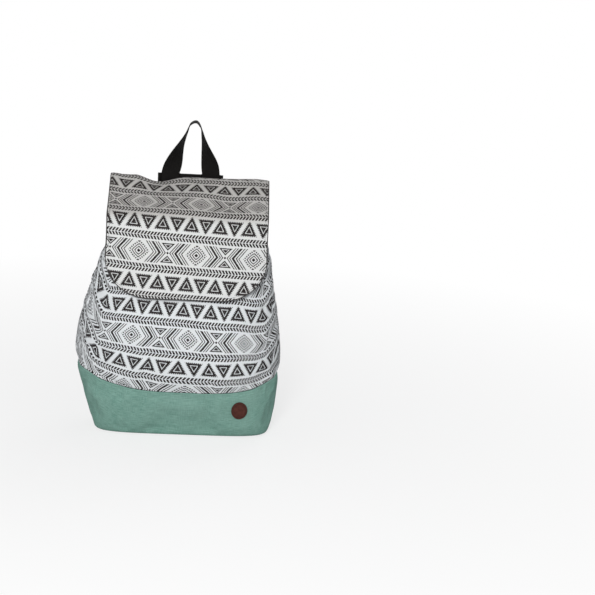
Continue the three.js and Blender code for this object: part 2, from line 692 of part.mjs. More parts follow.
function hookGate() {
  const shape = new THREE.Shape();
  shape.moveTo(hookInnerRadius + 0.4, noseHeight + seatGap);
  shape.lineTo(bowlOuter - 0.6, noseHeight + seatGap);
  shape.lineTo(pivotAcross + 2.6, pivotHeight);
  shape.absarc(pivotAcross, pivotHeight, 2.6, 0, Math.PI, false);
  shape.closePath();
  const hole = new THREE.Path();
  hole.absarc(pivotAcross, pivotHeight, pinRadius + runningGap, 0, 2 * Math.PI, true);
  shape.holes.push(hole);
  const notch = new THREE.Shape();
  notch.absarc(pivotAcross, pivotHeight, 3.1, 0, 2 * Math.PI, false);
  const relief = new THREE.Shape([
    new THREE.Vector2(pivotAcross - 6, pivotHeight + 3.1),
    new THREE.Vector2(pivotAcross - 6, pivotHeight - 4),
    new THREE.Vector2(pivotAcross, pivotHeight - 3.1),
    new THREE.Vector2(pivotAcross, pivotHeight + 3.1),
  ]);
  const whole = solid(turnedUp(extrude(shape, hookWire - 0.2, 7)));
  return geometryFrom(whole.subtract(solid(turnedUp(extrude(notch, 2.2, 8))))
    .subtract(solid(turnedUp(extrude(relief, 2.2)))));
}

const gatePin = () => new THREE.CylinderGeometry(pinRadius, pinRadius, hookWire + 0.6, 14)
  .rotateZ(Math.PI / 2).translate(0, pivotAcross, pivotHeight);

// The strap frame of the hook, with the boss that the swivel stem turns in.
function hookFrame() {
  const top = hookBarHeight + frameBar / 2;
  const half = frameWidth / 2;
  const corner = 4;
  const shape = new THREE.Shape();
  shape.moveTo(-half + corner + 3, frameBottom);
  shape.lineTo(half - corner - 3, frameBottom);
  shape.quadraticCurveTo(half, frameBottom, half, frameBottom + corner + 3);
  shape.lineTo(half, top - corner);
  shape.quadraticCurveTo(half, top, half - corner, top);
  shape.lineTo(-half + corner, top);
  shape.quadraticCurveTo(-half, top, -half, top - corner);
  shape.lineTo(-half, frameBottom + corner + 3);
  shape.quadraticCurveTo(-half, frameBottom, -half + corner + 3, frameBottom);
  const inside = webbingWidth / 2 + slotClearance;
  const hole = new THREE.Path([
    [-inside, frameBottom + bossHeight], [-inside, top - frameBar], [inside, top - frameBar],
    [inside, frameBottom + bossHeight],
  ].map(([x, y]) => new THREE.Vector2(x, y)));
  shape.holes.push(hole);
  const ring = extrude(shape, frameBar, 4).rotateX(Math.PI / 2);
  const boss = new THREE.CylinderGeometry(4, 4.6, bossHeight, 16).rotateX(Math.PI / 2)
    .translate(0, 0, frameBottom + bossHeight / 2);
  const boreRadius = stemRadius + runningGap;
  const bore = new THREE.CylinderGeometry(boreRadius, boreRadius, 3 * bossHeight, 16)
    .rotateX(Math.PI / 2).translate(0, 0, frameBottom + bossHeight / 2);
  return geometryFrom(joinAll(ring, boss).subtract(solid(bore)));
}

// The slide adjuster: a flat frame with a middle bar.
function adjuster() {
  const inside = webbingWidth / 2 + slotClearance;
  const shape = new THREE.Shape();
  const half = inside + 2.6;
  const reach = adjusterReach;
  const corner = 2.6;
  shape.moveTo(-half + corner, -reach);
  shape.lineTo(half - corner, -reach);
  shape.quadraticCurveTo(half, -reach, half, -reach + corner);
  shape.lineTo(half, reach - corner);
  shape.quadraticCurveTo(half, reach, half - corner, reach);
  shape.lineTo(-half + corner, reach);
  shape.quadraticCurveTo(-half, reach, -half, reach - corner);
  shape.lineTo(-half, -reach + corner);
  shape.quadraticCurveTo(-half, -reach, -half + corner, -reach);
  const bar = adjusterThickness;
  for (const low of [bar - reach, bar / 2]) {
    const high = low + reach - 1.5 * bar;
    shape.holes.push(new THREE.Path([
      [-inside, low], [-inside, high], [inside, high], [inside, low],
    ].map(([x, y]) => new THREE.Vector2(x, y))));
  }
  return extrude(shape, adjusterThickness, 4).rotateX(Math.PI / 2);
}

// The zip tapes lie in the mouth's plane. Each has the teeth of its half of the chain on its edge.
const chainDepth = mix(mouthFront, mouthBack, 0.5);
const planeOrigin = new THREE.Vector3(0, chainDepth, mouthPlaneHeight(chainDepth));
const alongPlane = new THREE.Vector3(0, Math.cos(mouthAngle), Math.sin(mouthAngle));
const offPlane = new THREE.Vector3(0, -Math.sin(mouthAngle), Math.cos(mouthAngle));
const toothRoot = toothReach + 0.35;
const tapeLift = -tapeDrop / 2;

function tape(side) {
  const inset = canvasThickness + seatGap + tapeDrop * Math.sin(mouthAngle);
  const rim = steps(aroundPouch / 2, 0, Math.PI).map((turn) => {
    const angle = side > 0 ? turn : 2 * Math.PI - turn;
    const height = mouthHeight(angle, 0, inset);
    const point = pouchPoint(angle, height, inset);
    return new THREE.Vector2(point.x, point.clone().sub(planeOrigin).dot(alongPlane));
  }).filter((point) => side * point.y > toothRoot + 1.5);
  const right = Math.max(...rim.map((point) => point.x));
  const left = Math.min(...rim.map((point) => point.x));
  const edge = [new THREE.Vector2(left, side * toothRoot)];
  const start = chainLeft + (side > 0 ? toothPitch / 2 : 0);
  for (let x = start; x < chainRight; x += toothPitch) {
    edge.push(
      new THREE.Vector2(x, side * toothRoot),
      new THREE.Vector2(x + 0.3, -side * toothReach),
      new THREE.Vector2(x + toothWidth - 0.3, -side * toothReach),
      new THREE.Vector2(x + toothWidth, side * toothRoot),
    );
  }
  edge.push(new THREE.Vector2(right, side * toothRoot));
  const outline = [...rim, ...edge];
  return onPlane(extrude(new THREE.Shape(outline), tapeThickness), tapeLift);
}
function onPlane(geometry, lift) {
  const place = planeOrigin.clone().addScaledVector(offPlane, lift);
  return geometry.rotateX(mouthAngle).translate(place.x, place.y, place.z);
}

// The slider waits past the last tooth, its post between the two tapes.
const sliderPlace = chainRight + 2.5 + sliderLength / 2;
function slider() {
  const inner = tapeThickness / 2 + seatGap;
  const plate = 1.3;
  const box = (x, y, z, dx, dy, dz) => new THREE.BoxGeometry(dx, dy, dz).translate(x, y, z);
  const nose = new THREE.Shape();
  nose.moveTo(-sliderLength / 2, -sliderWidth * 0.36);
  nose.lineTo(sliderLength / 2 - 3, -sliderWidth / 2);
  nose.quadraticCurveTo(sliderLength / 2, -sliderWidth / 2, sliderLength / 2, 0);
  nose.quadraticCurveTo(sliderLength / 2, sliderWidth / 2, sliderLength / 2 - 3, sliderWidth / 2);
  nose.lineTo(-sliderLength / 2, sliderWidth * 0.36);
  nose.closePath();
  const plates = [1, -1].map((side) => extrude(nose, plate, 5).translate(0, 0, side * (inner + plate / 2)));
  const post = box(sliderLength / 2 - 3, 0, 0, 3, 2 * (toothRoot - seatGap), 2 * inner + plate);
  const top = inner + plate;
  const bridgeSpan = 7;
  const bridge = [
    box(-bridgeSpan / 2 + 0.6, 0, top + 0.9, 1.2, 2, 2.2),
    box(bridgeSpan / 2 - 0.6, 0, top + 0.9, 1.2, 2, 2.2),
    box(0, 0, top + 2.5, bridgeSpan, 2, 1.2),
  ];
  return onPlane(geometryFrom(joinAll(...plates, post, ...bridge)).translate(sliderPlace, 0, 0), tapeLift);
}

// The pull hangs on the slider's bridge and lies back along the chain.
const pullLift = tapeThickness / 2 + seatGap + 1.3 + 0.95;
const pullPivot = new THREE.Vector3(sliderPlace - 1.6, 0, pullLift);
function pull() {
  const shape = new THREE.Shape();
  const half = 2.9;
  shape.moveTo(2.1, -half);
  shape.lineTo(2.1, half);
  shape.lineTo(-pullLength + 3, half - 0.4);
  shape.absarc(-pullLength + 2.5, 0, 2.5, Math.PI / 2, Math.PI * 1.5, false);
  shape.closePath();
  shape.holes.push(new THREE.Path([
    [-3.1, -1.35], [-3.1, 1.35], [0.7, 1.35], [0.7, -1.35],
  ].map(([x, y]) => new THREE.Vector2(x, y))));
  return onPlane(extrude(shape, 1.2, 6).translate(pullPivot.x, 0, pullPivot.z), tapeLift);
}

// The round leather patch follows the lower cloth.
function pouchFront(x, height) {
  const power = squareness(height);
  const half = halfWidth(height);
  return -reachFront(height) * (1 - Math.min(0.999, Math.abs(x) / half) ** power) ** (1 / power);
}
function onFront(x, height, offset) {
  const step = 0.5;
  const dx = (pouchFront(x + step, height) - pouchFront(x - step, height)) / (2 * step);
  const dz = (pouchFront(x, height + step) - pouchFront(x, height - step)) / (2 * step);
  const normal = new THREE.Vector3(dx, -1, dz).normalize();
  return new THREE.Vector3(x, pouchFront(x, height), height).addScaledVector(normal, offset);
}
function patch() {
  const rings = [0.4, 0.75, 1];
  const around = turnSteps(20);
  const shrink = 0.82; // the disc wraps the corner, so its outline is narrower seen from the front
  const face = (offset) => rings.map((share) => around.map((turn) => onFront(
    patchSide + Math.cos(turn) * patchRadius * shrink * share,
    patchHeight + Math.sin(turn) * patchRadius * share, offset)));
  return cup([...face(seatGap + patchThickness)], [...face(seatGap)]);
}

// Assembly.
const bag = new THREE.Group();
function add(parent, name, finish, geometry) {
  const plain = geometry.clone();
  plain.deleteAttribute('normal');
  plain.deleteAttribute('uv');
  const merged = mergeVertices(plain, 1e-4);
  merged.computeVertexNormals();
  const mesh = new THREE.Mesh(merged, new THREE.MeshStandardMaterial(finishes[finish]));
  mesh.name = name;
  parent.add(mesh);
  return mesh;
}

add(bag, 'upper_pouch', 'print', upperPouch());
add(bag, 'lower_pouch', 'canvas', lowerPouch());
add(bag, 'lining', 'lining', lining());
const flapUnder = flapLiningThickness + clothGap;
add(bag, 'flap', 'print', flapCloth(flapUnder, flapUnder + flapThickness));
add(bag, 'flap_lining', 'lining', flapCloth(0, flapLiningThickness));
add(bag, 'strap', 'webbing', strap());
add(bag, 'strap_band', 'webbing', band());
add(bag, 'leather_patch', 'leather', patch());
add(bag, 'zip_tape_front', 'tape', tape(-1));
add(bag, 'zip_tape_back', 'tape', tape(1));
add(bag, 'zip_slider', 'nickel', slider());
add(bag, 'zip_pull', 'nickel', pull());

// A group whose +Z follows the pull and whose X lies along the bars.
function pulledGroup(point, pull, level) {
  const along = level.clone().addScaledVector(pull, -pull.dot(level)).normalize();
  const group = new THREE.Group();
  group.quaternion.setFromRotationMatrix(new THREE.Matrix4().makeBasis(
    along, new THREE.Vector3().crossVectors(pull, along), pull));
  group.position.copy(point);
  bag.add(group);
  return group;
}
const rightward = (vector) => (vector.x < 0 ? vector.clone().negate() : vector.clone());

for (const [name, side] of [['left', -1], ['right', 1]]) {
  const pullLine = sideways(side, ringPull);
  const barLine = rightward(sideways(side, tabLevel));
  const ringTop = sideways(side, ringTopPoint);
  const ringGroup = pulledGroup(ringTop, pullLine, barLine);
  add(ringGroup, `lower_ring_${name}`, 'nickel', dRing(ringWidth, ringLength));
  add(ringGroup, `hook_${name}`, 'nickel', hookBody());
  add(ringGroup, `hook_gate_${name}`, 'nickel', hookGate());
  add(ringGroup, `gate_pin_${name}`, 'nickel', gatePin());
  const frameGroup = pulledGroup(ringTop, pullLine, rightward(runFrame(0, side).across));
  add(frameGroup, `hook_frame_${name}`, 'nickel', hookFrame());

  const surfaceLow = pouchBack(lowerTabReach, lowerTabHeight - tabLength);
  const lean = Math.atan2(lowerTabSurface - surfaceLow, tabLength);
  const tabUp = sideways(side, tabOutward).multiplyScalar(Math.sin(lean));
  tabUp.z = Math.cos(lean);
  const tabGroup = pulledGroup(sideways(side, ringBarPoint), tabUp, barLine);
  add(tabGroup, `lower_tab_${name}`, 'webbing', tab(ringWidth - 4 * wireRadius - 2, tabLength));

  const eyeLift = tapeLift + tapeThickness / 2 + eyeOuter + seatGap;
  const topBar = planeOrigin.clone().addScaledVector(offPlane, eyeLift);
  topBar.x = side * (mouthWidth / 2 - topRingInset);
  const topGroup = pulledGroup(topBar, new THREE.Vector3(-side, 0, 0), alongPlane.clone().multiplyScalar(-side));
  const topRing = add(topGroup, `top_ring_${name}`, 'nickel', dRing(topRingWidth, topRingLength));
  topRing.position.set(0, 0, topRingLength);
  add(topGroup, `top_tab_${name}`, 'webbing', tab(topRingWidth - 4 * wireRadius - 2, topTabLength));
}

const atAdjuster = runFrame(adjusterAlongRun, -1);
const adjusterPoint = atAdjuster.point.clone().addScaledVector(atAdjuster.outward, adjusterPlane);
const adjusterGroup = pulledGroup(adjusterPoint, atAdjuster.tangent, rightward(atAdjuster.across));
add(adjusterGroup, 'slide_adjuster', 'nickel', adjuster());

// The origin is below the middle of everything.
const whole = new THREE.Box3().setFromObject(bag);
bag.position.set(-(whole.min.x + whole.max.x) / 2, -(whole.min.y + whole.max.y) / 2, -whole.min.z);

export default bag;
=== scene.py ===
# %% [markdown]
# A canvas backpack with a fold-over flap, dressed around a fixed CAD frame.
# The frame gives every piece its place. This script gives the cloth its folds, print and stitches,
# the webbing its ribs, and the metal its rounded wires.
# All lengths are in metres, +Z is up, and the front of the bag looks towards -Y.

import json
import math

import bmesh
import bpy
import numpy as np
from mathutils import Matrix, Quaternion, Vector


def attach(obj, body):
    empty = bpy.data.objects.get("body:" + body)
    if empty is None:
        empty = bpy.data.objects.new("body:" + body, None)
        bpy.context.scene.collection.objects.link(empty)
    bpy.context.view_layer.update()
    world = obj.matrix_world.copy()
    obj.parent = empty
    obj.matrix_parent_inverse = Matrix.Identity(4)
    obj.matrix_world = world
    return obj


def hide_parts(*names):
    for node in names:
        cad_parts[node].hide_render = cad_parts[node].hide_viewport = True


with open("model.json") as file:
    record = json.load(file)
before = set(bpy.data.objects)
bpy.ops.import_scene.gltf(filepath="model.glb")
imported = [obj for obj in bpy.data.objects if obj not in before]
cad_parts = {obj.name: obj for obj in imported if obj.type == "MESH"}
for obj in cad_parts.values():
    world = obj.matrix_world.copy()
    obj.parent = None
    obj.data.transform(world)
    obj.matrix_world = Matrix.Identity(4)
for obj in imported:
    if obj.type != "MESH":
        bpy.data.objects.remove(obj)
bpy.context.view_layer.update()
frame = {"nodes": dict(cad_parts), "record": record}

# %% [markdown]
# The bag is worked out from a few sizes, the same ones that the solid model uses.
# Keeping them here as named values lets each cloth be rebuilt much finer than its solid,
# while it still lies on it to a fraction of a millimetre.

# %% Sizes of the bag
mm = 0.001
base_width, base_depth = 284 * mm, 104 * mm
belly_width, belly_depth, belly_height = 332 * mm, 162 * mm, 148 * mm
slump = 9 * mm
mouth_width, mouth_depth = 248 * mm, 78 * mm
mouth_front_height, mouth_back_height = 358 * mm, 402 * mm
seam_side_height, seam_dip = 108 * mm, 25 * mm
bottom_edge_radius = 9 * mm
tuck_depth = 9 * mm
canvas_thickness = 2.2 * mm

flap_width = 256 * mm
flap_hem_height, flap_fold_height = 240 * mm, 419 * mm
flap_eave_height, flap_back_height = 369 * mm, 388 * mm
flap_thickness, flap_lining_thickness = 1.8 * mm, 0.9 * mm
flap_ease = 2.2 * mm
flap_corner_width, flap_corner_height = 72 * mm, 60 * mm
flap_edge_bend = 11 * mm
cloth_gap = 0.35 * mm

webbing_width, webbing_thickness = 29 * mm, 1.6 * mm
wire_radius = 1.75 * mm

base_mount = frame["record"]["mounts"][0]
origin = np.array(base_mount["pos_m"])
print("the bag's own origin is at", origin)


# %% [markdown]
# The pouch tapers and swells with height, so its reach to each side is a smooth curve
# through a few heights. A cubic through named stations keeps the curve easy to steer.

# %% Curves of height
def clamp01(value):
    return np.clip(value, 0.0, 1.0)


def smooth(value):
    part = clamp01(value)
    return part * part * (3 - 2 * part)


def mix(low, high, part):
    return low + (high - low) * part


def through_stations(stations):
    heights = np.array([height for height, _ in stations])
    values = np.array([value for _, value in stations])
    before = np.maximum(np.arange(len(stations)) - 1, 0)
    after = np.minimum(np.arange(len(stations)) + 1, len(stations) - 1)
    slopes = (values[after] - values[before]) / (heights[after] - heights[before])

    def curve(height):
        height = np.asarray(height, dtype=float)
        index = np.clip(np.searchsorted(heights, height, side="left") - 1, 0, len(stations) - 2)
        span = heights[index + 1] - heights[index]
        part = np.clip((height - heights[index]) / span, -0.2, 1.2)
        square, cube = part**2, part**3
        return (
            (2 * cube - 3 * square + 1) * values[index]
            + (cube - 2 * square + part) * span * slopes[index]
            + (3 * square - 2 * cube) * values[index + 1]
            + (cube - square) * span * slopes[index + 1]
        )

    return curve


shoulder_height = mix(belly_height, mouth_front_height, 0.6)
seam_middle = seam_side_height - seam_dip
top_height = mouth_back_height + 20 * mm
half_width = through_stations([
    (0, base_width / 2 + 2 * mm),
    (belly_height * 0.5, mix(base_width, belly_width, 0.66) / 2),
    (belly_height, belly_width / 2),
    (shoulder_height, mix(belly_width, mouth_width, 0.48) / 2),
    (mouth_front_height, mouth_width / 2 + 2 * mm),
    (top_height, mouth_width / 2 - 4 * mm),
])
reach_front = through_stations([
    (0, base_depth * 0.51),
    (seam_middle, belly_depth * 0.495),
    (belly_height, belly_depth * 0.54),
    (shoulder_height, mix(belly_depth, mouth_depth, 0.45) * 0.57),
    (mouth_front_height, mouth_depth * 0.66),
    (top_height, mouth_depth * 0.5),
])
reach_back = through_stations([
    (0, base_depth * 0.49),
    (belly_height, belly_depth * 0.45),
    (shoulder_height, mix(belly_depth, mouth_depth, 0.5) * 0.45),
    (mouth_back_height, mouth_depth * 0.34),
    (top_height, mouth_depth * 0.33),
])
squareness = through_stations([
    (0, 4.6), (belly_height, 3.0), (mouth_front_height, 3.3), (top_height, 3.4),
])
print("half width at the belly", float(half_width(belly_height)))


# %% [markdown]
# One function gives any point of the pouch from an angle round the bag and a height.
# Angle 0 is the right side, a quarter turn is the back, and three quarters is the front.

# %% The pouch as a function
def side_slump(height):
    rising = smooth(height / belly_height)
    return slump * rising * smooth((mouth_front_height - height) / (mouth_front_height - belly_height))


def side_tuck(height):
    low = belly_height + 40 * mm
    return tuck_depth * np.sin(np.pi * clamp01((height - low) / (mouth_back_height - low))) ** 2


def pouch_point(angle, height, inset=0.0):
    angle, height = np.broadcast_arrays(np.asarray(angle, float), np.asarray(height, float))
    power = 2 / squareness(height)
    cosine, sine = np.cos(angle), np.sin(angle)
    lean = np.where(cosine > 0, -side_slump(height), side_slump(height))
    depth = np.where(sine > 0, reach_back(height), reach_front(height)) - inset
    y = np.sign(sine) * depth * np.abs(sine) ** power
    tuck = side_tuck(height) * np.exp(-((y / (17 * mm)) ** 2))
    x = np.sign(cosine) * ((half_width(height) + lean - inset) * np.abs(cosine) ** power - tuck)
    return np.stack([x, y, height], axis=-1)


mouth_front = -float(reach_front(mouth_front_height))
mouth_back = float(reach_back(mouth_back_height))
mouth_slope = (mouth_back_height - mouth_front_height) / (mouth_back - mouth_front)
mouth_angle = math.atan(mouth_slope)


def mouth_plane(y):
    return mouth_front_height + (y - mouth_front) * mouth_slope


def mouth_height(angle, drop=0.0, inset=0.0):
    height = np.full(np.shape(angle), (mouth_front_height + mouth_back_height) / 2)
    for _ in range(12):
        height = mouth_plane(pouch_point(angle, height, inset)[..., 1]) - drop
    return height


def seam_height(angle):
    """The seam dips in front and at the back. The sewing climbs a little more to the left."""
    sides = 13 * mm * clamp01(-np.cos(angle)) ** 1.2 + 4 * mm * clamp01(np.cos(angle)) ** 2
    return seam_side_height - seam_dip * np.abs(np.sin(angle)) ** 1.5 + sides


def bottom_inset(height):
    low = np.clip(bottom_edge_radius - height, 0, bottom_edge_radius)
    return bottom_edge_radius - np.sqrt(bottom_edge_radius**2 - low**2)


# %% [markdown]
# The stage is a plain pale floor with soft light. Through the Light Path node the camera sees a
# pale floor and a white sky, and metal mirrors the white sky, while the light that falls on the
# bag stays plain. Near the bag the floor keeps more of its own shade, so the bag stands on it.

# %% Floor, light and sky
def new_object(name, mesh):
    piece = bpy.data.objects.new(name, mesh)
    bpy.context.scene.collection.objects.link(piece)
    return piece


def new_material(name):
    material = bpy.data.materials.new(name)
    material.use_nodes = True
    material.node_tree.nodes.clear()
    return material


scene = bpy.context.scene
scene.view_settings.view_transform = "Standard"

floor_half = 6.0
shade_ends, white_starts, least_glow = 0.15, 1.3, 0.72
floor_mesh = bpy.data.meshes.new("floor")
floor_mesh.from_pydata(
    [(-floor_half, -floor_half, 0), (floor_half, -floor_half, 0), (floor_half, floor_half, 0),
     (-floor_half, floor_half, 0)], [], [(0, 1, 2, 3)])
floor = new_object("floor", floor_mesh)
floor_material = new_material("pale_floor")
nodes, links = floor_material.node_tree.nodes, floor_material.node_tree.links
floor_shader = nodes.new("ShaderNodeBsdfDiffuse")
floor_shader.inputs["Color"].default_value = (0.86, 0.86, 0.86, 1)
floor_glow = nodes.new("ShaderNodeEmission")
floor_path = nodes.new("ShaderNodeLightPath")
floor_place = nodes.new("ShaderNodeTexCoord")
floor_reach = nodes.new("ShaderNodeVectorMath")
floor_reach.operation = "LENGTH"
floor_fade = nodes.new("ShaderNodeMapRange")
for socket, value in zip(floor_fade.inputs[1:5], (shade_ends, white_starts, least_glow, 1.0)):
    socket.default_value = value
floor_seen = nodes.new("ShaderNodeMath")
floor_seen.operation = "MULTIPLY"
floor_mix = nodes.new("ShaderNodeMixShader")
floor_out = nodes.new("ShaderNodeOutputMaterial")
links.new(floor_place.outputs["Object"], floor_reach.inputs[0])
links.new(floor_reach.outputs["Value"], floor_fade.inputs[0])
links.new(floor_fade.outputs[0], floor_seen.inputs[0])
links.new(floor_path.outputs["Is Camera Ray"], floor_seen.inputs[1])
links.new(floor_seen.outputs[0], floor_mix.inputs[0])
links.new(floor_shader.outputs[0], floor_mix.inputs[1])
links.new(floor_glow.outputs[0], floor_mix.inputs[2])
links.new(floor_mix.outputs[0], floor_out.inputs["Surface"])
floor_mesh.materials.append(floor_material)

world = bpy.data.worlds.new("soft_sky")
scene.world = world
world.use_nodes = True
nodes, links = world.node_tree.nodes, world.node_tree.links
nodes.clear()
sky = nodes.new("ShaderNodeBackground")
sky.inputs["Color"].default_value = (0.96, 0.98, 1.0, 1)
sky.inputs["Strength"].default_value = 0.27
white = nodes.new("ShaderNodeBackground")
white.inputs["Color"].default_value = (1, 1, 1, 1)
white.inputs["Strength"].default_value = 1.0
path = nodes.new("ShaderNodeLightPath")
seen = nodes.new("ShaderNodeMath")
seen.operation = "MAXIMUM"
links.new(path.outputs["Is Camera Ray"], seen.inputs[0])
links.new(path.outputs["Is Glossy Ray"], seen.inputs[1])
choose = nodes.new("ShaderNodeMixShader")
links.new(seen.outputs[0], choose.inputs[0])
links.new(sky.outputs[0], choose.inputs[1])
links.new(white.outputs[0], choose.inputs[2])
out = nodes.new("ShaderNodeOutputWorld")
links.new(choose.outputs[0], out.inputs["Surface"])


def soft_lamp(name, place, size, power, colour=(1, 1, 1)):
    lamp = bpy.data.lights.new(name, "AREA")
    lamp.shape = "DISK"
    lamp.size = size
    lamp.energy = power
    lamp.color = colour
    holder = bpy.data.objects.new(name, lamp)
    scene.collection.objects.link(holder)
    holder.location = place
    aim = Vector((0, 0, 0.25)) - Vector(place)
    holder.rotation_euler = aim.to_track_quat("-Z", "Y").to_euler()
    return holder


soft_lamp("front_softbox", (-0.3, -2.6, 1.35), 0.6, 60)
soft_lamp("back_fill", (1.6, 2.2, 1.8), 2.2, 22)

# %% [markdown]
# The camera stands a little above the middle of the bag, almost straight in front,
# rolled so that the bag leans. The bag sits left of the middle of the
# picture, so the camera is first aimed at it and then turned by the angle that its place gives.

# %% Camera
picture_size = 595
bag_in_picture = (181.5, 276.0)
focal_pixels = 1413
camera_distance = 2.35
camera_azimuth, camera_elevation, camera_roll = (math.radians(a) for a in (1.5, 13.5, 2.0))
aimed_at = Vector((0, 0, 0.255))
towards_camera = Vector((
    math.sin(camera_azimuth) * math.cos(camera_elevation),
    -math.cos(camera_azimuth) * math.cos(camera_elevation),
    math.sin(camera_elevation),
))
camera_data = bpy.data.cameras.new("camera")
camera_data.sensor_width = 36
camera_data.lens = camera_data.sensor_width * focal_pixels / picture_size
camera = bpy.data.objects.new("camera", camera_data)
scene.collection.objects.link(camera)
camera.location = aimed_at + camera_distance * towards_camera
from_middle = Vector((
    (bag_in_picture[0] - picture_size / 2) / focal_pixels,
    (picture_size / 2 - bag_in_picture[1]) / focal_pixels,
    -1,
)).normalized()
look = (-towards_camera).to_track_quat("-Z", "Y")
roll = Quaternion((0, 0, 1), camera_roll)
aside = from_middle.rotation_difference(Vector((0, 0, -1)))
camera.rotation_mode = "QUATERNION"
camera.rotation_quaternion = look @ roll @ aside
scene.camera = camera
print("camera at", tuple(camera.location))


# %% [markdown]
# Materials are node trees, and every pattern is worked out from a UV map in metres, so that a
# thread or a printed row has its true size and follows the cloth. Writing each Math node by hand
# is long, so a small helper turns Python sums into nodes.

# %% A helper that writes sums as nodes
class Sums:
    """Adds Math nodes to a tree. Every method takes sockets or numbers and gives a socket."""

    def __init__(self, tree):
        self.tree = tree

    def node(self, kind, **settings):
        made = self.tree.nodes.new(kind)
        for name, value in settings.items():
            setattr(made, name, value)
        return made

    def feed(self, socket, value):
        if isinstance(value, bpy.types.NodeSocket):
            self.tree.links.new(value, socket)
        else:
            socket.default_value = value

    def do(self, operation, *values):
        made = self.node("ShaderNodeMath", operation=operation)
        for socket, value in zip(made.inputs, values):
            self.feed(socket, value)
        return made.outputs[0]

    def add(self, a, b):
        return self.do("ADD", a, b)

    def take(self, a, b):
        return self.do("SUBTRACT", a, b)

    def times(self, a, b):
        return self.do("MULTIPLY", a, b)

    def size(self, a):
        return self.do("ABSOLUTE", a)

    def larger(self, a, b):
        return self.do("MAXIMUM", a, b)

    def any_of(self, *masks):
        total = masks[0]
        for mask in masks[1:]:
            total = self.larger(total, mask)
        return total

    def within(self, value, middle, half):
        """1 where value is within half of middle."""
        return self.do("COMPARE", value, middle, half)

    def below(self, value, limit):
        return self.do("LESS_THAN", value, limit)

    def above(self, value, limit):
        return self.do("GREATER_THAN", value, limit)

    def centred(self, value, period):
        """value wrapped to one period, from -period/2 to period/2."""
        return self.do("WRAP", value, period / 2, -period / 2)

    def dashes(self, value, period, share):
        """1 over the first share of every period."""
        return self.below(self.do("WRAP", value, period, 0.0), period * share)

    def split(self, vector):
        made = self.node("ShaderNodeSeparateXYZ")
        self.feed(made.inputs[0], vector)
        return made.outputs[0], made.outputs[1]

    def join(self, x, y, z=0.0):
        made = self.node("ShaderNodeCombineXYZ")
        for socket, value in zip(made.inputs, (x, y, z)):
            self.feed(socket, value)
        return made.outputs[0]

    def noise(self, vector, scale, detail=2.0, roughness=0.5):
        made = self.node("ShaderNodeTexNoise")
        self.feed(made.inputs["Vector"], vector)
        self.feed(made.inputs["Scale"], scale)
        self.feed(made.inputs["Detail"], detail)
        self.feed(made.inputs["Roughness"], roughness)
        return made.outputs["Fac"]

    def blend(self, factor, first, second):
        made = self.node("ShaderNodeMix", data_type="RGBA")
        self.feed(made.inputs[0], factor)
        self.feed(made.inputs[6], first)
        self.feed(made.inputs[7], second)
        return made.outputs[2]

    def ramp(self, value, low, high, to_low=0.0, to_high=1.0):
        made = self.node("ShaderNodeMapRange")
        for socket, number in zip(made.inputs, (value, low, high, to_low, to_high)):
            self.feed(socket, number)
        return made.outputs[0]


def new_group(name, inputs, outputs):
    """An empty shader node group. inputs and outputs are {name: (kind, default)}."""
    group = bpy.data.node_groups.new(name, "ShaderNodeTree")
    for side, sockets in (("INPUT", inputs), ("OUTPUT", outputs)):
        for label, (kind, default) in sockets.items():
            socket = group.interface.new_socket(label, in_out=side, socket_type="NodeSocket" + kind)
            if default is not None:
                socket.default_value = default
    sums = Sums(group)
    return group, sums, sums.node("NodeGroupInput"), sums.node("NodeGroupOutput")


# %% [markdown]
# The cloth is printed in rows that repeat up the bag: diamonds between chevrons and hourglasses,
# a plaited band, a row of fringed triangles, and the band again, turned round.
# A printer would tile a picture. Here each row is drawn from distances on the UV map instead,
# so its lines stay sharp at any size, and a little noise keeps them from looking ruled.

# %% The printed rows
repeat_up = 95.4
repeat_across = 91.5
band_centre = 26.0
triangle_centre = 47.7
print_skew = math.tan(math.radians(2.8))


def draw_band(sums, u, v, centre, pointing):
    """Two rows of slanted dashes that meet in arrowheads."""
    slant, dashes_in_repeat, inked_share = 0.62, 18, 0.64
    row_middle, row_half = 3.25, 2.85
    rise = sums.take(v, centre)
    away = sums.size(rise)
    slanted = sums.add(u, sums.times(away, pointing * slant))
    dashes = sums.dashes(slanted, repeat_across / dashes_in_repeat, inked_share)
    inside = sums.within(away, row_middle, row_half)
    return sums.times(dashes, inside)


def draw_triangles(sums, u, v):
    """Upright and hanging triangles in turn, each an outline with a fringe and a solid core."""
    pair = repeat_across / 2
    height, half, slope_x, slope_y = 9.6, 5.4, 0.885, 0.466
    corner, line_half, core_depth = 1.6, 1.6, 2.85
    fringe_pitch, fringe_share, row_half = 2.9, 0.58, 12.6
    masks = []
    for shift, up in ((-pair / 4, 1.0), (pair / 4, -1.0)):
        across = sums.centred(sums.take(u, shift), pair)
        rise = sums.times(sums.take(v, triangle_centre - up), up)
        slopes = sums.add(sums.times(sums.size(across), slope_x), sums.times(rise, slope_y))
        side = sums.take(slopes, half)
        foot = sums.take(sums.times(rise, -1.0), height - corner)
        edge = sums.do("SMOOTH_MAX", side, foot, corner)
        outline = sums.within(edge, -0.7, line_half)
        along = sums.add(sums.times(sums.above(side, foot), sums.times(rise, 1.12)),
                         sums.times(sums.below(side, foot), across))
        fringe = sums.times(sums.within(edge, 1.2, 1.0),
                            sums.dashes(along, fringe_pitch, fringe_share))
        jag = sums.times(sums.do("PINGPONG", sums.add(along, 20.0), 1.1), 0.8)
        core = sums.below(sums.add(edge, jag), -core_depth)
        masks.append(sums.any_of(outline, fringe, core))
    row = sums.within(v, triangle_centre, row_half)
    return sums.times(sums.larger(masks[0], masks[1]), row)


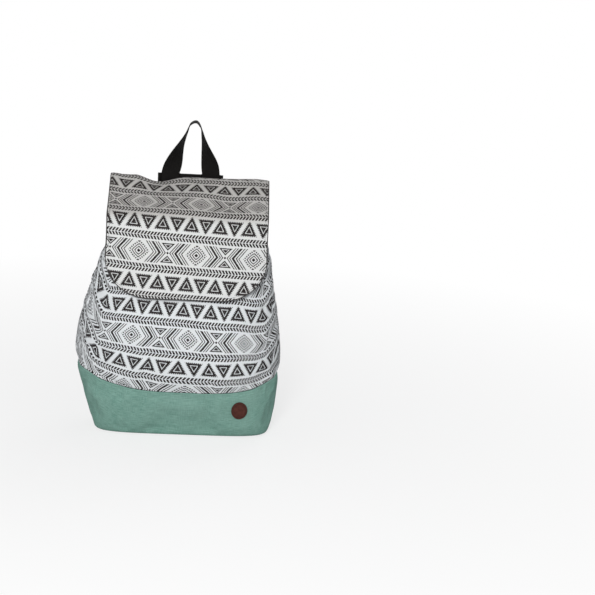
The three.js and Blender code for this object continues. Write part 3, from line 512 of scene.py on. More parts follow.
def draw_diamonds(sums, u, v):
    """Ringed diamonds with a dotted ring, chevrons on both sides, and hourglasses between them."""
    ring_reaches, ring_half, dot_reach = (6.4, 10.7), 0.95, 3.0
    dotted_reach, dotted_half, dotted_pitch = 15.4, 1.6, 5.1
    arm_lines = ((23.6, 0.85), (27.8, 0.9), (33.3, 2.0), (38.3, 0.85), (42.2, 0.85))
    glass_top, row_half = 15.4, 17.0
    across = sums.size(sums.centred(u, repeat_across))
    rise = sums.size(v)
    straight = sums.add(across, rise)
    rounded = sums.add(sums.times(straight, 0.84),
                       sums.times(sums.do("SMOOTH_MAX", across, rise, 3.0), 0.17))
    rings = [sums.within(rounded, reach, ring_half) for reach in ring_reaches]
    dot = sums.below(rounded, dot_reach)
    spaced = sums.dashes(sums.add(sums.take(across, rise), 12 * dotted_pitch), dotted_pitch, 0.55)
    dots = sums.times(sums.within(rounded, dotted_reach, dotted_half), spaced)
    chevron = sums.add(across, sums.times(rise, 0.75))
    arms = [sums.within(chevron, reach, half) for reach, half in arm_lines]
    glass = sums.size(sums.take(across, repeat_across / 2))
    slope = sums.times(sums.take(glass, sums.times(sums.take(rise, 4.2), 0.92)), 0.74)
    body = sums.larger(slope, sums.take(rise, glass_top))
    hourglass = sums.within(body, -0.7, 0.92)
    solid = sums.below(body, -2.6)
    waist = sums.below(sums.add(glass, rise), 2.2)
    clear = sums.above(body, 1.0)
    chevrons = sums.times(sums.any_of(*arms), clear)
    row = sums.below(rise, row_half)
    drawn = sums.any_of(dot, dots, hourglass, solid, waist, chevrons, *rings)
    return sums.times(drawn, row)


def make_print_group():
    group, sums, given, result = new_group(
        "printed_rows",
        {"UV": ("Vector", None), "Wobble": ("Float", 0.35),
         "Right": ("Float", 0.0), "Up": ("Float", 0.0)},
        {"Ink": ("Float", 0.0)},
    )
    u_metres, v_metres = sums.split(given.outputs["UV"])
    u_turned = sums.take(u_metres, sums.times(v_metres, print_skew))
    v_turned = sums.add(v_metres, sums.times(u_metres, print_skew))
    u = sums.times(sums.take(u_turned, given.outputs["Right"]), 1000.0)
    v = sums.times(sums.take(v_turned, given.outputs["Up"]), 1000.0)
    place = sums.join(u, v)
    shake_u = sums.take(sums.noise(place, 0.45, 3.0, 0.6), 0.5)
    shake_v = sums.take(sums.noise(sums.join(v, u, 7.0), 0.45, 3.0, 0.6), 0.5)
    u = sums.add(u, sums.times(shake_u, sums.times(given.outputs["Wobble"], 4.0)))
    v = sums.add(v, sums.times(shake_v, sums.times(given.outputs["Wobble"], 4.0)))
    folded = sums.do("WRAP", v, repeat_up / 2, -repeat_up / 2)
    lifted = sums.do("WRAP", v, repeat_up, 0.0)
    ink = sums.any_of(
        draw_diamonds(sums, u, folded),
        draw_band(sums, u, folded, band_centre, -1.0),
        draw_band(sums, u, folded, -band_centre, 1.0),
        draw_triangles(sums, u, lifted),
    )
    sums.feed(result.inputs["Ink"], ink)
    return group


print_group = make_print_group()
print("print group has", len(print_group.nodes), "nodes")

# %% [markdown]
# Every cloth on the bag is woven, so the weave is one group with its own thread count.
# It gives a height for the bump and a value that darkens the gaps between threads.
# Slubs are thicker places in the yarn, drawn by a noise that is stretched along the thread.

# %% Weave and wear groups
def make_weave_group():
    group, sums, given, result = new_group(
        "woven_threads",
        {"UV": ("Vector", None), "Threads": ("Float", 1600.0), "Slub": ("Float", 0.5)},
        {"Height": ("Float", 0.0), "Gap": ("Float", 0.0), "Slubs": ("Float", 0.0)},
    )
    u, v = sums.split(given.outputs["UV"])
    turn = sums.times(given.outputs["Threads"], math.pi)
    over = sums.size(sums.do("SINE", sums.times(u, turn)))
    under = sums.size(sums.do("SINE", sums.times(v, turn)))
    threads = sums.times(sums.add(over, under), 0.5)
    weft = sums.noise(sums.join(sums.times(u, 70.0), sums.times(v, 1100.0)), 1.0, 3.0, 0.6)
    warp = sums.noise(sums.join(sums.times(u, 1100.0), sums.times(v, 90.0), 3.0), 1.0, 3.0, 0.6)
    slubs = sums.add(sums.times(weft, 0.68), sums.times(warp, 0.32))
    height = sums.add(threads, sums.times(slubs, sums.times(given.outputs["Slub"], 3.0)))
    sums.feed(result.inputs["Height"], height)
    sums.feed(result.inputs["Gap"], sums.ramp(threads, 0.15, 0.7, 1.0, 0.0))
    sums.feed(result.inputs["Slubs"], slubs)
    return group


def make_wear_group():
    group, sums, given, result = new_group(
        "soft_wear",
        {"Place": ("Vector", None), "Size": ("Float", 20.0)},
        {"Worn": ("Float", 0.0), "Fine": ("Float", 0.0)},
    )
    broad = sums.noise(given.outputs["Place"], given.outputs["Size"], 3.0, 0.55)
    fine = sums.noise(given.outputs["Place"], sums.times(given.outputs["Size"], 12.0), 4.0, 0.6)
    sums.feed(result.inputs["Worn"], sums.ramp(broad, 0.32, 0.7))
    sums.feed(result.inputs["Fine"], fine)
    return group


weave_group = make_weave_group()
wear_group = make_wear_group()


def use_group(sums, group, **values):
    made = sums.node("ShaderNodeGroup", node_tree=group)
    for name, value in values.items():
        sums.feed(made.inputs[name], value)
    return made


def srgb(red, green, blue):
    """A colour as a picture shows it, from 0 to 255, turned into the light that it stands for."""
    def to_light(share):
        return share / 12.92 if share <= 0.04045 else ((share + 0.055) / 1.055) ** 2.4
    return tuple(to_light(part / 255) for part in (red, green, blue)) + (1.0,)


def start_material(name, roughness, **constants):
    material = new_material(name)
    sums = Sums(material.node_tree)
    shader = sums.node("ShaderNodeBsdfPrincipled")
    output = sums.node("ShaderNodeOutputMaterial")
    sums.feed(output.inputs["Surface"], shader.outputs[0])
    shader.inputs["Roughness"].default_value = roughness
    for label, value in constants.items():
        shader.inputs[label].default_value = value
    return material, sums, shader


def add_bump(sums, shader, height, distance, strength=1.0):
    bump = sums.node("ShaderNodeBump")
    bump.inputs["Strength"].default_value = strength
    bump.inputs["Distance"].default_value = distance
    sums.feed(bump.inputs["Height"], height)
    sums.feed(shader.inputs["Normal"], bump.outputs[0])


def cloth_uv(sums):
    return sums.node("ShaderNodeUVMap", uv_map="cloth").outputs[0]


def object_place(sums):
    return sums.node("ShaderNodeTexCoord").outputs["Object"]


# %% [markdown]
# The printed cotton is a cool white plain weave. The ink is a brown-black that soaks in,
# so the threads still show through it. The same cloth is used on the flap and the pouch,
# cut at different places of the repeat, which is why the offsets are arguments. Painted
# shade makes the ground browner and darker on the flap's top, above a given height.

# %% Cloth materials
matt = {"Specular IOR Level": 0.12}
# How fast the painted shade on the flap's top fades in, and how strong it is.
painted_shade_fade, painted_shade_share = 14 * mm, 0.36


def printed_cotton(name, right, up, dim, bright, painted_shade_above=1.0):
    material, sums, shader = start_material(name, 0.86, **matt)
    uv = cloth_uv(sums)
    rows = use_group(sums, print_group, UV=uv, Wobble=0.3, Right=right, Up=up)
    weave = use_group(sums, weave_group, UV=uv, Threads=1500.0, Slub=0.35)
    wear = use_group(sums, wear_group, Place=uv, Size=26.0)
    height = sums.node("ShaderNodeSeparateXYZ")
    sums.feed(height.inputs[0], object_place(sums))
    # Painted shade: above the given height the ground is blended towards a dark brown.
    painted_shade_ramp = sums.ramp(height.outputs["Z"], painted_shade_above, painted_shade_above + painted_shade_fade)
    painted_shade_amount = sums.times(painted_shade_ramp, painted_shade_share)
    unshaded_ground = sums.blend(weave.outputs["Slubs"], dim, bright)
    ground = sums.blend(painted_shade_amount, unshaded_ground, srgb(124, 110, 96))
    inked = sums.blend(weave.outputs["Slubs"], srgb(24, 19, 19), srgb(42, 35, 34))
    soaked = sums.times(rows.outputs["Ink"], sums.ramp(wear.outputs["Fine"], 0.25, 0.6, 0.93, 1.0))
    colour = sums.blend(soaked, ground, inked)
    shaded = sums.blend(sums.times(weave.outputs["Gap"], 0.07), colour, srgb(120, 120, 122))
    sums.feed(shader.inputs["Base Color"], shaded)
    add_bump(sums, shader, weave.outputs["Height"], 0.00012, 0.7)
    return material


def melange_canvas():
    material, sums, shader = start_material("green_canvas", 0.9, **matt)
    uv = cloth_uv(sums)
    weave = use_group(sums, weave_group, UV=uv, Threads=950.0, Slub=0.7)
    wear = use_group(sums, wear_group, Place=uv, Size=14.0)
    mottle = sums.ramp(weave.outputs["Slubs"], 0.36, 0.64)
    yarn = sums.blend(mottle, srgb(90, 131, 120), srgb(134, 170, 158))
    faded = sums.blend(sums.times(wear.outputs["Worn"], 0.16), yarn, srgb(150, 172, 164))
    shaded = sums.blend(sums.times(weave.outputs["Gap"], 0.3), faded, srgb(66, 92, 84))
    sums.feed(shader.inputs["Base Color"], shaded)
    add_bump(sums, shader, weave.outputs["Height"], 0.0002, 0.8)
    return material


def plain_twill(name, dark, light, threads, roughness=0.85, diagonal=1.0):
    material, sums, shader = start_material(name, roughness, **matt)
    uv = cloth_uv(sums)
    weave = use_group(sums, weave_group, UV=uv, Threads=threads, Slub=0.2)
    u, v = sums.split(uv)
    wale = sums.size(sums.do("SINE", sums.times(sums.add(u, sums.times(v, diagonal)), threads * 2)))
    lit = sums.add(sums.times(wale, 0.5), sums.times(weave.outputs["Slubs"], 0.4))
    colour = sums.blend(lit, dark, light)
    sums.feed(shader.inputs["Base Color"], colour)
    add_bump(sums, shader, sums.add(sums.times(wale, 1.5), weave.outputs["Height"]), 0.00015, 0.7)
    return material


def ribbed_webbing(name="black_webbing"):
    """Polypropylene webbing: herringbone ribs along its length, with a plain selvedge."""
    material, sums, shader = start_material(name, 0.75, **matt)
    uv = cloth_uv(sums)
    u, v = sums.split(uv)
    side = sums.size(u)
    column = sums.size(sums.do("SINE", sums.times(u, math.pi / (2.4 * mm))))
    slant = sums.add(sums.times(v, 1.0), sums.times(sums.do("PINGPONG", u, 2.4 * mm), 0.9))
    ribs = sums.size(sums.do("SINE", sums.times(slant, math.pi / (1.15 * mm))))
    selvedge = sums.above(side, webbing_width / 2 - 1.6 * mm)
    height = sums.add(sums.times(column, 0.7), sums.times(ribs, 0.9))
    flat = sums.times(height, sums.take(1.0, sums.times(selvedge, 0.55)))
    wear = use_group(sums, wear_group, Place=uv, Size=40.0)
    worn = sums.times(sums.times(ribs, wear.outputs["Worn"]), 0.5)
    colour = sums.blend(sums.add(sums.times(ribs, 0.45), worn), srgb(6, 5, 5), srgb(22, 20, 18))
    sums.feed(shader.inputs["Base Color"], colour)
    add_bump(sums, shader, flat, 0.0003, 0.8)
    return material


pouch_print = printed_cotton("print_cloth_pouch", 0.0030, 0.0958,
                             srgb(205, 208, 210), srgb(216, 219, 221))
flap_print = printed_cotton("print_cloth_flap", 0.0122, 0.0723,
                            srgb(202, 203, 202), srgb(213, 214, 213),
                            painted_shade_above=flap_eave_height - 12 * mm)
green_canvas = melange_canvas()
lining_cloth = plain_twill("lining_cloth", srgb(38, 39, 43), srgb(62, 63, 68), 1700.0)
webbing_cloth = ribbed_webbing()
tape_cloth = plain_twill("zip_tape_cloth", srgb(18, 18, 19), srgb(44, 44, 46), 1100.0, 0.8, -1.0)
print("cloth materials made")


# %% [markdown]
# Most of the bag is cloth, and cloth is a grid of points with a face in each square.
# This helper makes such a grid into a mesh, closes it round the bag where asked,
# and stores its flat pattern as a UV map in metres.

# %% Grid meshes
def grid_mesh(name, points, uvs, around=False, flip=False):
    """points is (rows, columns, 3), and uvs (rows, columns, 2), one column more when around is set."""
    rows, columns = points.shape[:2]
    spans = columns if around else columns - 1
    faces, corners = [], []
    for row in range(rows - 1):
        for column in range(spans):
            beside = (column + 1) % columns
            quad = [(row, column), (row, beside), (row + 1, beside), (row + 1, column)]
            flat = [(row, column), (row, column + 1), (row + 1, column + 1), (row + 1, column)]
            if flip:
                quad, flat = quad[::-1], flat[::-1]
            faces.append([r * columns + c for r, c in quad])
            corners.extend(uvs[r, c] for r, c in flat)
    mesh = bpy.data.meshes.new(name)
    mesh.from_pydata((points.reshape(-1, 3) + origin).tolist(), [], faces)
    layer = mesh.uv_layers.new(name="cloth")
    layer.data.foreach_set("uv", np.array(corners, dtype=np.float32).ravel())
    mesh.update()
    return mesh


def finish_cloth(piece, material, thickness, levels=1, inwards=True):
    """Smooth shading, a wall, and one round of subdivision, which also rounds the cut edges."""
    piece.data.materials.append(material)
    piece.data.shade_smooth()
    wall = piece.modifiers.new("wall", "SOLIDIFY")
    wall.thickness = thickness
    wall.offset = -1 if inwards else 1
    wall.use_even_offset = True
    if levels:
        soft = piece.modifiers.new("soft", "SUBSURF")
        soft.levels = soft.render_levels = levels
        soft.boundary_smooth = "PRESERVE_CORNERS"
    return piece


def finish_work(work, mesh):
    """Turns all faces outwards and writes the edited faces back into the mesh."""
    bmesh.ops.recalc_face_normals(work, faces=work.faces)
    work.to_mesh(mesh)
    work.free()


def dress(piece, node, body="bag"):
    """The piece takes the place of a frame node, and moves with a body."""
    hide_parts(node)
    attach(piece, body)


def bake_modifiers(piece):
    """Turns the piece with its modifiers into a plain mesh."""
    graph = bpy.context.evaluated_depsgraph_get()
    mesh = bpy.data.meshes.new_from_object(piece.evaluated_get(graph), depsgraph=graph)
    piece.modifiers.clear()
    piece.data = mesh
    return piece


# %% [markdown]
# The pouch is two cloths sewn together: the print above and the green canvas below.
# They share one grid, so that the folds run on through the seam. Rows go from the floor's
# middle out to its edge, up the canvas to the seam, and up the print to the mouth.
# The cloth is slack, so creases are laid in first: broad ones down the flanks, where the
# pouch is tucked in under the flap, and shallow ones above the seam.

# %% The pouch's grid
around_pouch = 224
canvas_rows, print_rows, floor_rows = 22, 72, 10
column_share = np.arange(around_pouch) / around_pouch
turn_front_first = np.pi + 2 * np.pi * column_share


def slack_folds(angle, points):
    """How far the cloth stands out from its smooth shape, as sums of soft waves."""
    height = points[..., 2]
    side = np.abs(np.cos(angle)) ** 3
    left = np.cos(angle) < 0
    above = smooth((height - 0.17) / 0.08) * smooth((0.40 - height) / 0.06)
    lean = np.where(left, 1.0, -1.0)
    flank = np.sin(angle * 23 + height * 34 * lean) * 0.55 + np.sin(angle * 37 - height * 52 + 1.3) * 0.3
    cross = np.sin(height * 150 + angle * 6 * lean) * 0.35
    belly = np.sin(angle * 5 + height * 22 + 0.6) * 0.5 + np.sin(angle * 9 - height * 31) * 0.28
    low = smooth(height / 0.03) * smooth((0.2 - height) / 0.08)
    base = np.sin(angle * 7 + height * 12 + 2.0) * 0.4 + np.sin(angle * 13 + 0.4) * 0.22
    sewn = np.exp(-((np.sin(angle) / 0.03) ** 2)) * smooth((height - seam_height(angle)) / 0.02)
    reach = (np.abs(points[..., 0]) - 128 * mm) / (6 * mm)
    crease = np.exp(-(reach**2)) * (points[..., 1] < 0) * smooth((height - 0.16) / 0.05)
    crumples = side * above * (flank + cross) * 4.2
    crumples = np.where(crumples > 0, crumples * 0.45, crumples)
    out = crumples + belly * 1.3 + low * base * 1.2 - sewn * 1.5 - crease * 2.4
    covered = smooth((height - flap_hem_height + 12 * mm) / (14 * mm))
    covered = covered * smooth((-np.sin(angle) - 0.12) / 0.2)
    return mix(out, -np.abs(out) * 0.7, covered) * mm


def steady(points):
    """1 where the cloth may move. It is 0 beside the patch and the lower tabs, which lie flat on
    the cloth, and behind the hooks, which swing close to it."""
    away = np.ones(points.shape[:2])
    for x, front, z in ((95, True, 54), (104, False, 36), (-104, False, 36),
                        (117, False, 80), (-117, False, 80)):
        reach = np.hypot(points[..., 0] - x * mm, points[..., 2] - z * mm)
        side = points[..., 1] < 0 if front else points[..., 1] > 0
        away = np.minimum(away, np.where(side, smooth((reach - 20 * mm) / (16 * mm)), 1.0))
    return away


def pouch_grid():
    angle = turn_front_first
    seam = seam_height(angle)
    rows = []
    lowest = pouch_point(angle, 0 * angle, bottom_edge_radius)
    for share in np.linspace(0.03, 1.0, floor_rows, endpoint=False):
        rows.append(lowest * np.array([share, share, 0.0]))
    for share in np.linspace(0, 1, canvas_rows) ** 1.25:
        height = share * seam
        rows.append(pouch_point(angle, height, bottom_inset(height)))
    rim = mouth_height(angle)
    for share in np.linspace(0, 1, print_rows)[1:]:
        rows.append(pouch_point(angle, mix(seam, rim, share)))
    return np.array(rows)


def outward_normals(points):
    """Normals of a grid that closes round the bag, pointing out of it."""
    along = np.roll(points, -1, axis=1) - np.roll(points, 1, axis=1)
    up = np.gradient(points, axis=0)
    normal = np.cross(along, up)
    return normal / np.maximum(np.linalg.norm(normal, axis=-1, keepdims=True), 1e-9)


seam_row = floor_rows + canvas_rows - 1
mouth_row = seam_row + print_rows - 1
still = pouch_grid()
angles = np.broadcast_to(turn_front_first, still.shape[:2])
rows_free = np.ones(len(still))
rows_free[: floor_rows + 2] = 0.0
rows_free[floor_rows + 2 : floor_rows + 6] = np.linspace(0.2, 1, 4)
rows_free[-4:] = np.linspace(1, 0.1, 4)
calm = steady(still)
folds = slack_folds(angles, still) * rows_free[:, None] * calm
folded_pouch = still + outward_normals(still) * folds[..., None]
print("pouch grid", still.shape, "deepest fold", round(float(np.abs(folds).max() / mm), 2), "mm")

# %% [markdown]
# The small wrinkles come from a cloth simulation. The fabric is made a little larger than its
# shape, by a negative shrink, and held along the floor, the seam and the mouth, so it has to
# buckle between them as real slack cotton does. The movement of every point is capped,
# because the cloth must stay on the frame.

# %% Let the cloth buckle
def buckle(points, held, cap, gain=1.6, frames=18):
    """Runs a short cloth simulation on a closed grid and gives the points moved by its wrinkles."""
    no_uvs = np.zeros((points.shape[0], points.shape[1] + 1, 2))
    mesh = grid_mesh("buckling", points, no_uvs, around=True)
    piece = new_object("buckling", mesh)
    group = piece.vertex_groups.new(name="held")
    for row, weight in enumerate(held):
        if weight > 0:
            first = row * points.shape[1]
            group.add(list(range(first, first + points.shape[1])), float(weight), "REPLACE")
    cloth = piece.modifiers.new("cloth", "CLOTH")
    settings = cloth.settings
    settings.quality = 6
    settings.mass = 0.25
    settings.air_damping = 6
    settings.tension_stiffness = settings.compression_stiffness = 22
    settings.shear_stiffness = 9
    settings.bending_stiffness = 0.35
    settings.shrink_min = -0.03
    settings.use_pressure = True
    settings.uniform_pressure_force = 4.0
    settings.vertex_group_mass = "held"
    settings.effector_weights.gravity = 0.0
    cloth.collision_settings.use_self_collision = False
    cloth.point_cache.frame_start, cloth.point_cache.frame_end = 1, frames
    for step in range(1, frames + 1):
        scene.frame_set(step)
    graph = bpy.context.evaluated_depsgraph_get()
    moved = np.empty(len(mesh.vertices) * 3)
    piece.evaluated_get(graph).data.vertices.foreach_get("co", moved)
    moved = moved.reshape(points.shape) - origin
    bpy.data.objects.remove(piece)
    bpy.data.meshes.remove(mesh)
    scene.frame_set(1)
    shift = moved - points
    normal = outward_normals(points)
    out = np.sum(shift * normal, axis=-1)
    most_out, most_in = round(float(out.max() / mm), 1), round(float(-out.min() / mm), 1)
    print("cloth moved out by", most_out, "mm, in by", most_in, "mm, mean",
          round(float(out.mean() / mm), 2), "mm")
    broad = out
    for _ in range(26):
        broad = (broad + np.roll(broad, 1, axis=1) + np.roll(broad, -1, axis=1)) / 3
        broad[1:-1] = (broad[:-2] + broad[1:-1] + broad[2:]) / 3
    wrinkles = (out - broad * 0.8) * gain
    return points + normal * (cap * np.tanh(wrinkles / cap))[..., None]


held_rows = np.zeros(len(still))
held_rows[: floor_rows + 2] = 1.0
held_rows[seam_row] = 0.85
held_rows[-2:] = 1.0
pouch = buckle(folded_pouch, held_rows, 3.2 * mm)
pouch = mix(folded_pouch, pouch, (calm * rows_free[:, None])[..., None])
under_flap = smooth((pouch[..., 2] - flap_hem_height + 14 * mm) / (12 * mm)) * (pouch[..., 1] < -20 * mm)
outside = np.sum((pouch - still) * outward_normals(still), axis=-1)
pouch -= outward_normals(still) * (np.maximum(outside, 0) * under_flap)[..., None]
pouch[..., 2] = np.maximum(pouch[..., 2], 0.0)

# %% [markdown]
# The print's flat pattern starts at the seam. Low down it follows the seam, which curves up to
# the sides, and higher up it runs level round the bag. The front and the back are separate
# panels that meet in a seam down each side, so each is measured from its own middle.

# %% The pouch's flat pattern
def panel_uvs(points, zero_row):
    """UVs for a front-first closed grid, one column longer than the grid."""
    rows, columns = points.shape[:2]
    closed = np.concatenate([points, points[:, :1]], axis=1)
    girth_row = int(np.argmin(np.abs(points[:, columns // 4, 2] - 0.17)))
    steps = np.linalg.norm(np.diff(closed[girth_row], axis=0), axis=-1)
    along = np.concatenate([[0], np.cumsum(steps)])
    half = columns // 2
    front = along - along[half // 2]
    back = along - along[half + half // 2]
    climbs = np.linalg.norm(np.diff(closed, axis=0), axis=-1)
    up = np.concatenate([np.zeros((1, columns + 1)), np.cumsum(climbs, axis=0)])
    up -= up[zero_row]
    sides = closed[zero_row, :, 2] - closed[zero_row, :, 2].min()
    up += sides * smooth(up / 0.11)
    beyond = np.maximum(np.abs(np.where(np.arange(columns + 1) < half, front, back)) - 136 * mm, 0)
    pulled = smooth(up / 0.07) * beyond**2 / (beyond + 9 * mm)
    up -= pulled * np.where(closed[zero_row, :, 0] < 0, 1.25, 0.75)
    return front, back, up


def pouch_mesh(name, first, last, zero_row):
    part = pouch[first : last + 1]
    front, back, up = panel_uvs(pouch, zero_row)
    up = up[first : last + 1]
    columns = part.shape[1]
    mesh = grid_mesh(name, part, np.zeros((len(part), columns + 1, 2)), around=True)
    data = np.empty((len(part) - 1, columns, 4, 2), dtype=np.float32)
    for column in range(columns):
        u = front if column < columns // 2 else back
        for corner, (down, right) in enumerate(((0, 0), (0, 1), (1, 1), (1, 0))):
            height = up[down : len(part) - 1 + down, column + right]
            data[:, column, corner, 0] = u[column + right]
            data[:, column, corner, 1] = height
    mesh.uv_layers["cloth"].data.foreach_set("uv", data.ravel())
    return mesh


def close_floor(mesh, columns):
    """Fills the small hole in the middle of the floor with a fan."""
    work = bmesh.new()
    work.from_mesh(mesh)
    work.verts.ensure_lookup_table()
    ring = work.verts[:columns]
    centre = work.verts.new(sum((v.co for v in ring), Vector()) / columns)
    layer = work.loops.layers.uv["cloth"]
    for index in range(columns):
        face = work.faces.new((centre, ring[(index + 1) % columns], ring[index]))
        for loop in face.loops:
            loop[layer].uv = (loop.vert.co.x, loop.vert.co.y)
    finish_work(work, mesh)


upper = new_object("printed_pouch", pouch_mesh("printed_pouch", seam_row, mouth_row, seam_row))
finish_cloth(upper, pouch_print, 1.4 * mm)
lower_mesh = pouch_mesh("canvas_base", 0, seam_row, seam_row)
close_floor(lower_mesh, around_pouch)
lower = new_object("canvas_base", lower_mesh)
finish_cloth(lower, green_canvas, 1.4 * mm)
dress(upper, "upper_pouch")
dress(lower, "lower_pouch")
print("pouch panels", len(upper.data.polygons), len(lower.data.polygons), "faces")


# %% [markdown]
# The flap is sewn to the back below the mouth, folds over the top, runs down a short roof to
# the eave and hangs in front. Its route is one curve seen from the side. Across its width it is
# nearly straight, bends back a little at the hem's corners, and has soft waves on the roof.
# A function of two shares, across and along, gives both the print cloth and its lining.

# %% The flap as a function
def smooth_route(points, count=600):
    """A centripetal Catmull-Rom curve through the points, sampled evenly along its length."""
    points = np.array(points, dtype=float)
    ends = np.concatenate([[2 * points[0] - points[1]], points, [2 * points[-1] - points[-2]]])
    fine = []
    for index in range(1, len(ends) - 2):
        p0, p1, p2, p3 = ends[index - 1 : index + 3]
        t0 = 0.0
        t1 = t0 + max(np.linalg.norm(p1 - p0), 1e-9) ** 0.5
        t2 = t1 + max(np.linalg.norm(p2 - p1), 1e-9) ** 0.5
        t3 = t2 + max(np.linalg.norm(p3 - p2), 1e-9) ** 0.5
        for t in np.linspace(t1, t2, 60, endpoint=False):
            a1 = (t1 - t) / (t1 - t0) * p0 + (t - t0) / (t1 - t0) * p1
            a2 = (t2 - t) / (t2 - t1) * p1 + (t - t1) / (t2 - t1) * p2
            a3 = (t3 - t) / (t3 - t2) * p2 + (t - t2) / (t3 - t2) * p3
            b1 = (t2 - t) / (t2 - t0) * a1 + (t - t0) / (t2 - t0) * a2
            b2 = (t3 - t) / (t3 - t1) * a2 + (t - t1) / (t3 - t1) * a3
            fine.append((t2 - t) / (t2 - t1) * b1 + (t - t1) / (t2 - t1) * b2)
    fine.append(points[-1])
    fine = np.array(fine)
    length = np.concatenate([[0], np.cumsum(np.linalg.norm(np.diff(fine, axis=0), axis=1))])
    even = np.linspace(0, length[-1], count)
    route = np.stack([np.interp(even, length, fine[:, k]) for k in range(fine.shape[1])], axis=1)
    return route, length[-1]


flap_inside = flap_ease + cloth_gap
flap_back = mouth_back + cloth_gap
front_heights = [mix(flap_eave_height, flap_hem_height, part) for part in (0.3, 0.55, 0.8, 1.0)]
flap_stations = [
    (max(float(reach_back(flap_back_height)), mouth_back + flap_ease) + 2 * cloth_gap, flap_back_height),
    (flap_back + flap_inside, mouth_back_height - 6 * mm),
    (flap_back + flap_inside - 0.8 * mm, flap_fold_height - 8 * mm),
    (flap_back - 6 * mm, flap_fold_height - 1.5 * mm),
    (flap_back - 22 * mm, mix(flap_fold_height, flap_eave_height, 0.2)),
    (mix(flap_back, mouth_front, 0.72), mix(flap_fold_height, flap_eave_height, 0.72)),
    (mouth_front + 2 * mm, flap_eave_height),
    (-float(reach_front(flap_eave_height - 18 * mm)) - flap_inside - 2.5 * mm,
     flap_eave_height - 16 * mm),
] + [(-float(reach_front(height)) - flap_inside - 1 * mm, height) for height in front_heights]
flap_route, flap_length = smooth_route(flap_stations, 900)
flap_tangents = np.gradient(flap_route, axis=0)
flap_tangents /= np.linalg.norm(flap_tangents, axis=1, keepdims=True)


def flap_point(u, v, offset, extra=0.0):
    """u runs from -1 to 1 across the flap, v from 0 at the back seam to 1 at the hem."""
    start = flap_width / 2 - flap_corner_width
    corner = clamp01((np.abs(u) * flap_width / 2 - start) / flap_corner_width)
    lift = flap_corner_height * (1 - np.sqrt(np.maximum(0, 1 - corner**2)))
    share = v * (flap_length - lift) / flap_length * (len(flap_route) - 1)
    index = np.arange(len(flap_route))
    y, z = (np.interp(share, index, flap_route[:, k]) for k in (0, 1))
    ty, tz = (np.interp(share, index, flap_tangents[:, k]) for k in (0, 1))
    front = smooth((flap_eave_height + 6 * mm - z) / (30 * mm)) * (tz < 0)
    bend = front * flap_edge_bend * np.abs(u) ** 3.2
    down_roof = (flap_fold_height + 4 * mm - z) / (flap_fold_height - flap_eave_height + 12 * mm)
    roof = np.sin(np.pi * clamp01(down_roof)) * clamp01(-1.3 * ty)
    wave = 2.4 * mm * roof * (np.cos(u * 5.2 + 0.7) + 0.6 * np.sin(u * 9.1))
    out = offset + wave + extra
    return np.stack([u * flap_width / 2 + 0 * y, y + bend + tz * out, z - ty * out], axis=-1)


# %% [markdown]
# Both cloths of the flap are turned in and sewn together along the edge, which leaves a rolled
# edge with a row of stitches. The print cloth is the outer one. Extra waves, finer than the
# solid's, are added to both on the roof and beside the eave, where the picture shows them.

# %% Flap cloths
flap_columns, flap_rows = 108, 150


def flap_waves(u, v):
    """Soft waves of both cloths, largest on the roof. Over the rings and the pull they
    are filled up, so that the metal below has room to turn."""
    roof = np.exp(-(((v - 0.16) / 0.12) ** 2)) * smooth(v / 0.08)
    dip = -np.exp(-(((u + 0.38) / 0.24) ** 2)) * 9.5 + np.exp(-(((u + 0.92) / 0.2) ** 2)) * 1.6
    ripple = np.sin(u * 7 + v * 18) * 0.9 + np.sin(u * 15 - v * 26 + 1) * 0.4
    front = np.sin(u * 4.2 + v * 5) * 0.9 + np.sin(u * 9 - v * 11) * 0.4
    hem = smooth((v - 0.72) / 0.28) * 3.4
    waves = roof * (dip + ripple) + (1 - roof) * front * smooth(v * 4) + hem
    over_metal = sum(np.exp(-(((u - place) / 0.15) ** 2)) for place in (-0.76, 0.5, 0.76))
    on_roof = smooth(v / 0.1) * (1 - smooth((v - 0.5) / 0.12))
    return mix(waves, np.maximum(waves, 1.5), clamp01(over_metal * 1.3) * on_roof) * mm


def flap_cloth(name, near, far, material):
    u, v = np.meshgrid(np.sin(np.linspace(-np.pi / 2, np.pi / 2, flap_columns)),
                       np.linspace(0, 1, flap_rows))
    middle = flap_point(u, v, (near + far) / 2, flap_waves(u, v))
    across = np.gradient(middle, axis=1)
    along = np.gradient(middle, axis=0)
    normal = np.cross(along, across)
    normal /= np.linalg.norm(normal, axis=-1, keepdims=True)
    if normal[flap_rows // 2, flap_columns // 2, 1] > 0:
        normal = -normal
    edge = np.minimum(1 - np.abs(u), np.minimum(v, 1 - v) * 2)
    roll = np.sqrt(clamp01(1 - (1 - clamp01(edge / 0.012)) ** 2))
    half = (far - near) / 2 * mix(0.35, 1.0, roll)
    outer = middle + normal * half[..., None]
    inner = middle - normal * half[..., None]
    slack = 1 + 0.33 * smooth((middle[1:, :, 2] - flap_eave_height) / (8 * mm))
    flat_v = np.concatenate([np.zeros((1, flap_columns)),
                             np.cumsum(np.linalg.norm(np.diff(outer, axis=0), axis=-1) * slack, axis=0)])
    level = flap_eave_height - 22 * mm
    top_row = int(np.argmax(middle[:, flap_columns // 2, 2])) + 3
    marks = np.array([np.interp(-level, -middle[top_row:, k, 2], flat_v[top_row:, k])
                      for k in range(flap_columns)])
    hem_middle = flat_v[-1, flap_columns // 2] - marks[flap_columns // 2]
    flat_u = u * flap_width / 2
    uvs = np.stack([flat_u, hem_middle - (flat_v - marks)], axis=-1)
    mesh = grid_mesh(name, outer, uvs)
    inside = grid_mesh(name + "_inside", inner, uvs, flip=True)
    work = bmesh.new()
    work.from_mesh(mesh)
    work.from_mesh(inside)
    bmesh.ops.bridge_loops(work, edges=[edge for edge in work.edges if edge.is_boundary])
    finish_work(work, mesh)
    bpy.data.meshes.remove(inside)
    piece = new_object(name, mesh)
    mesh.materials.append(material)
    mesh.shade_smooth()
    return piece


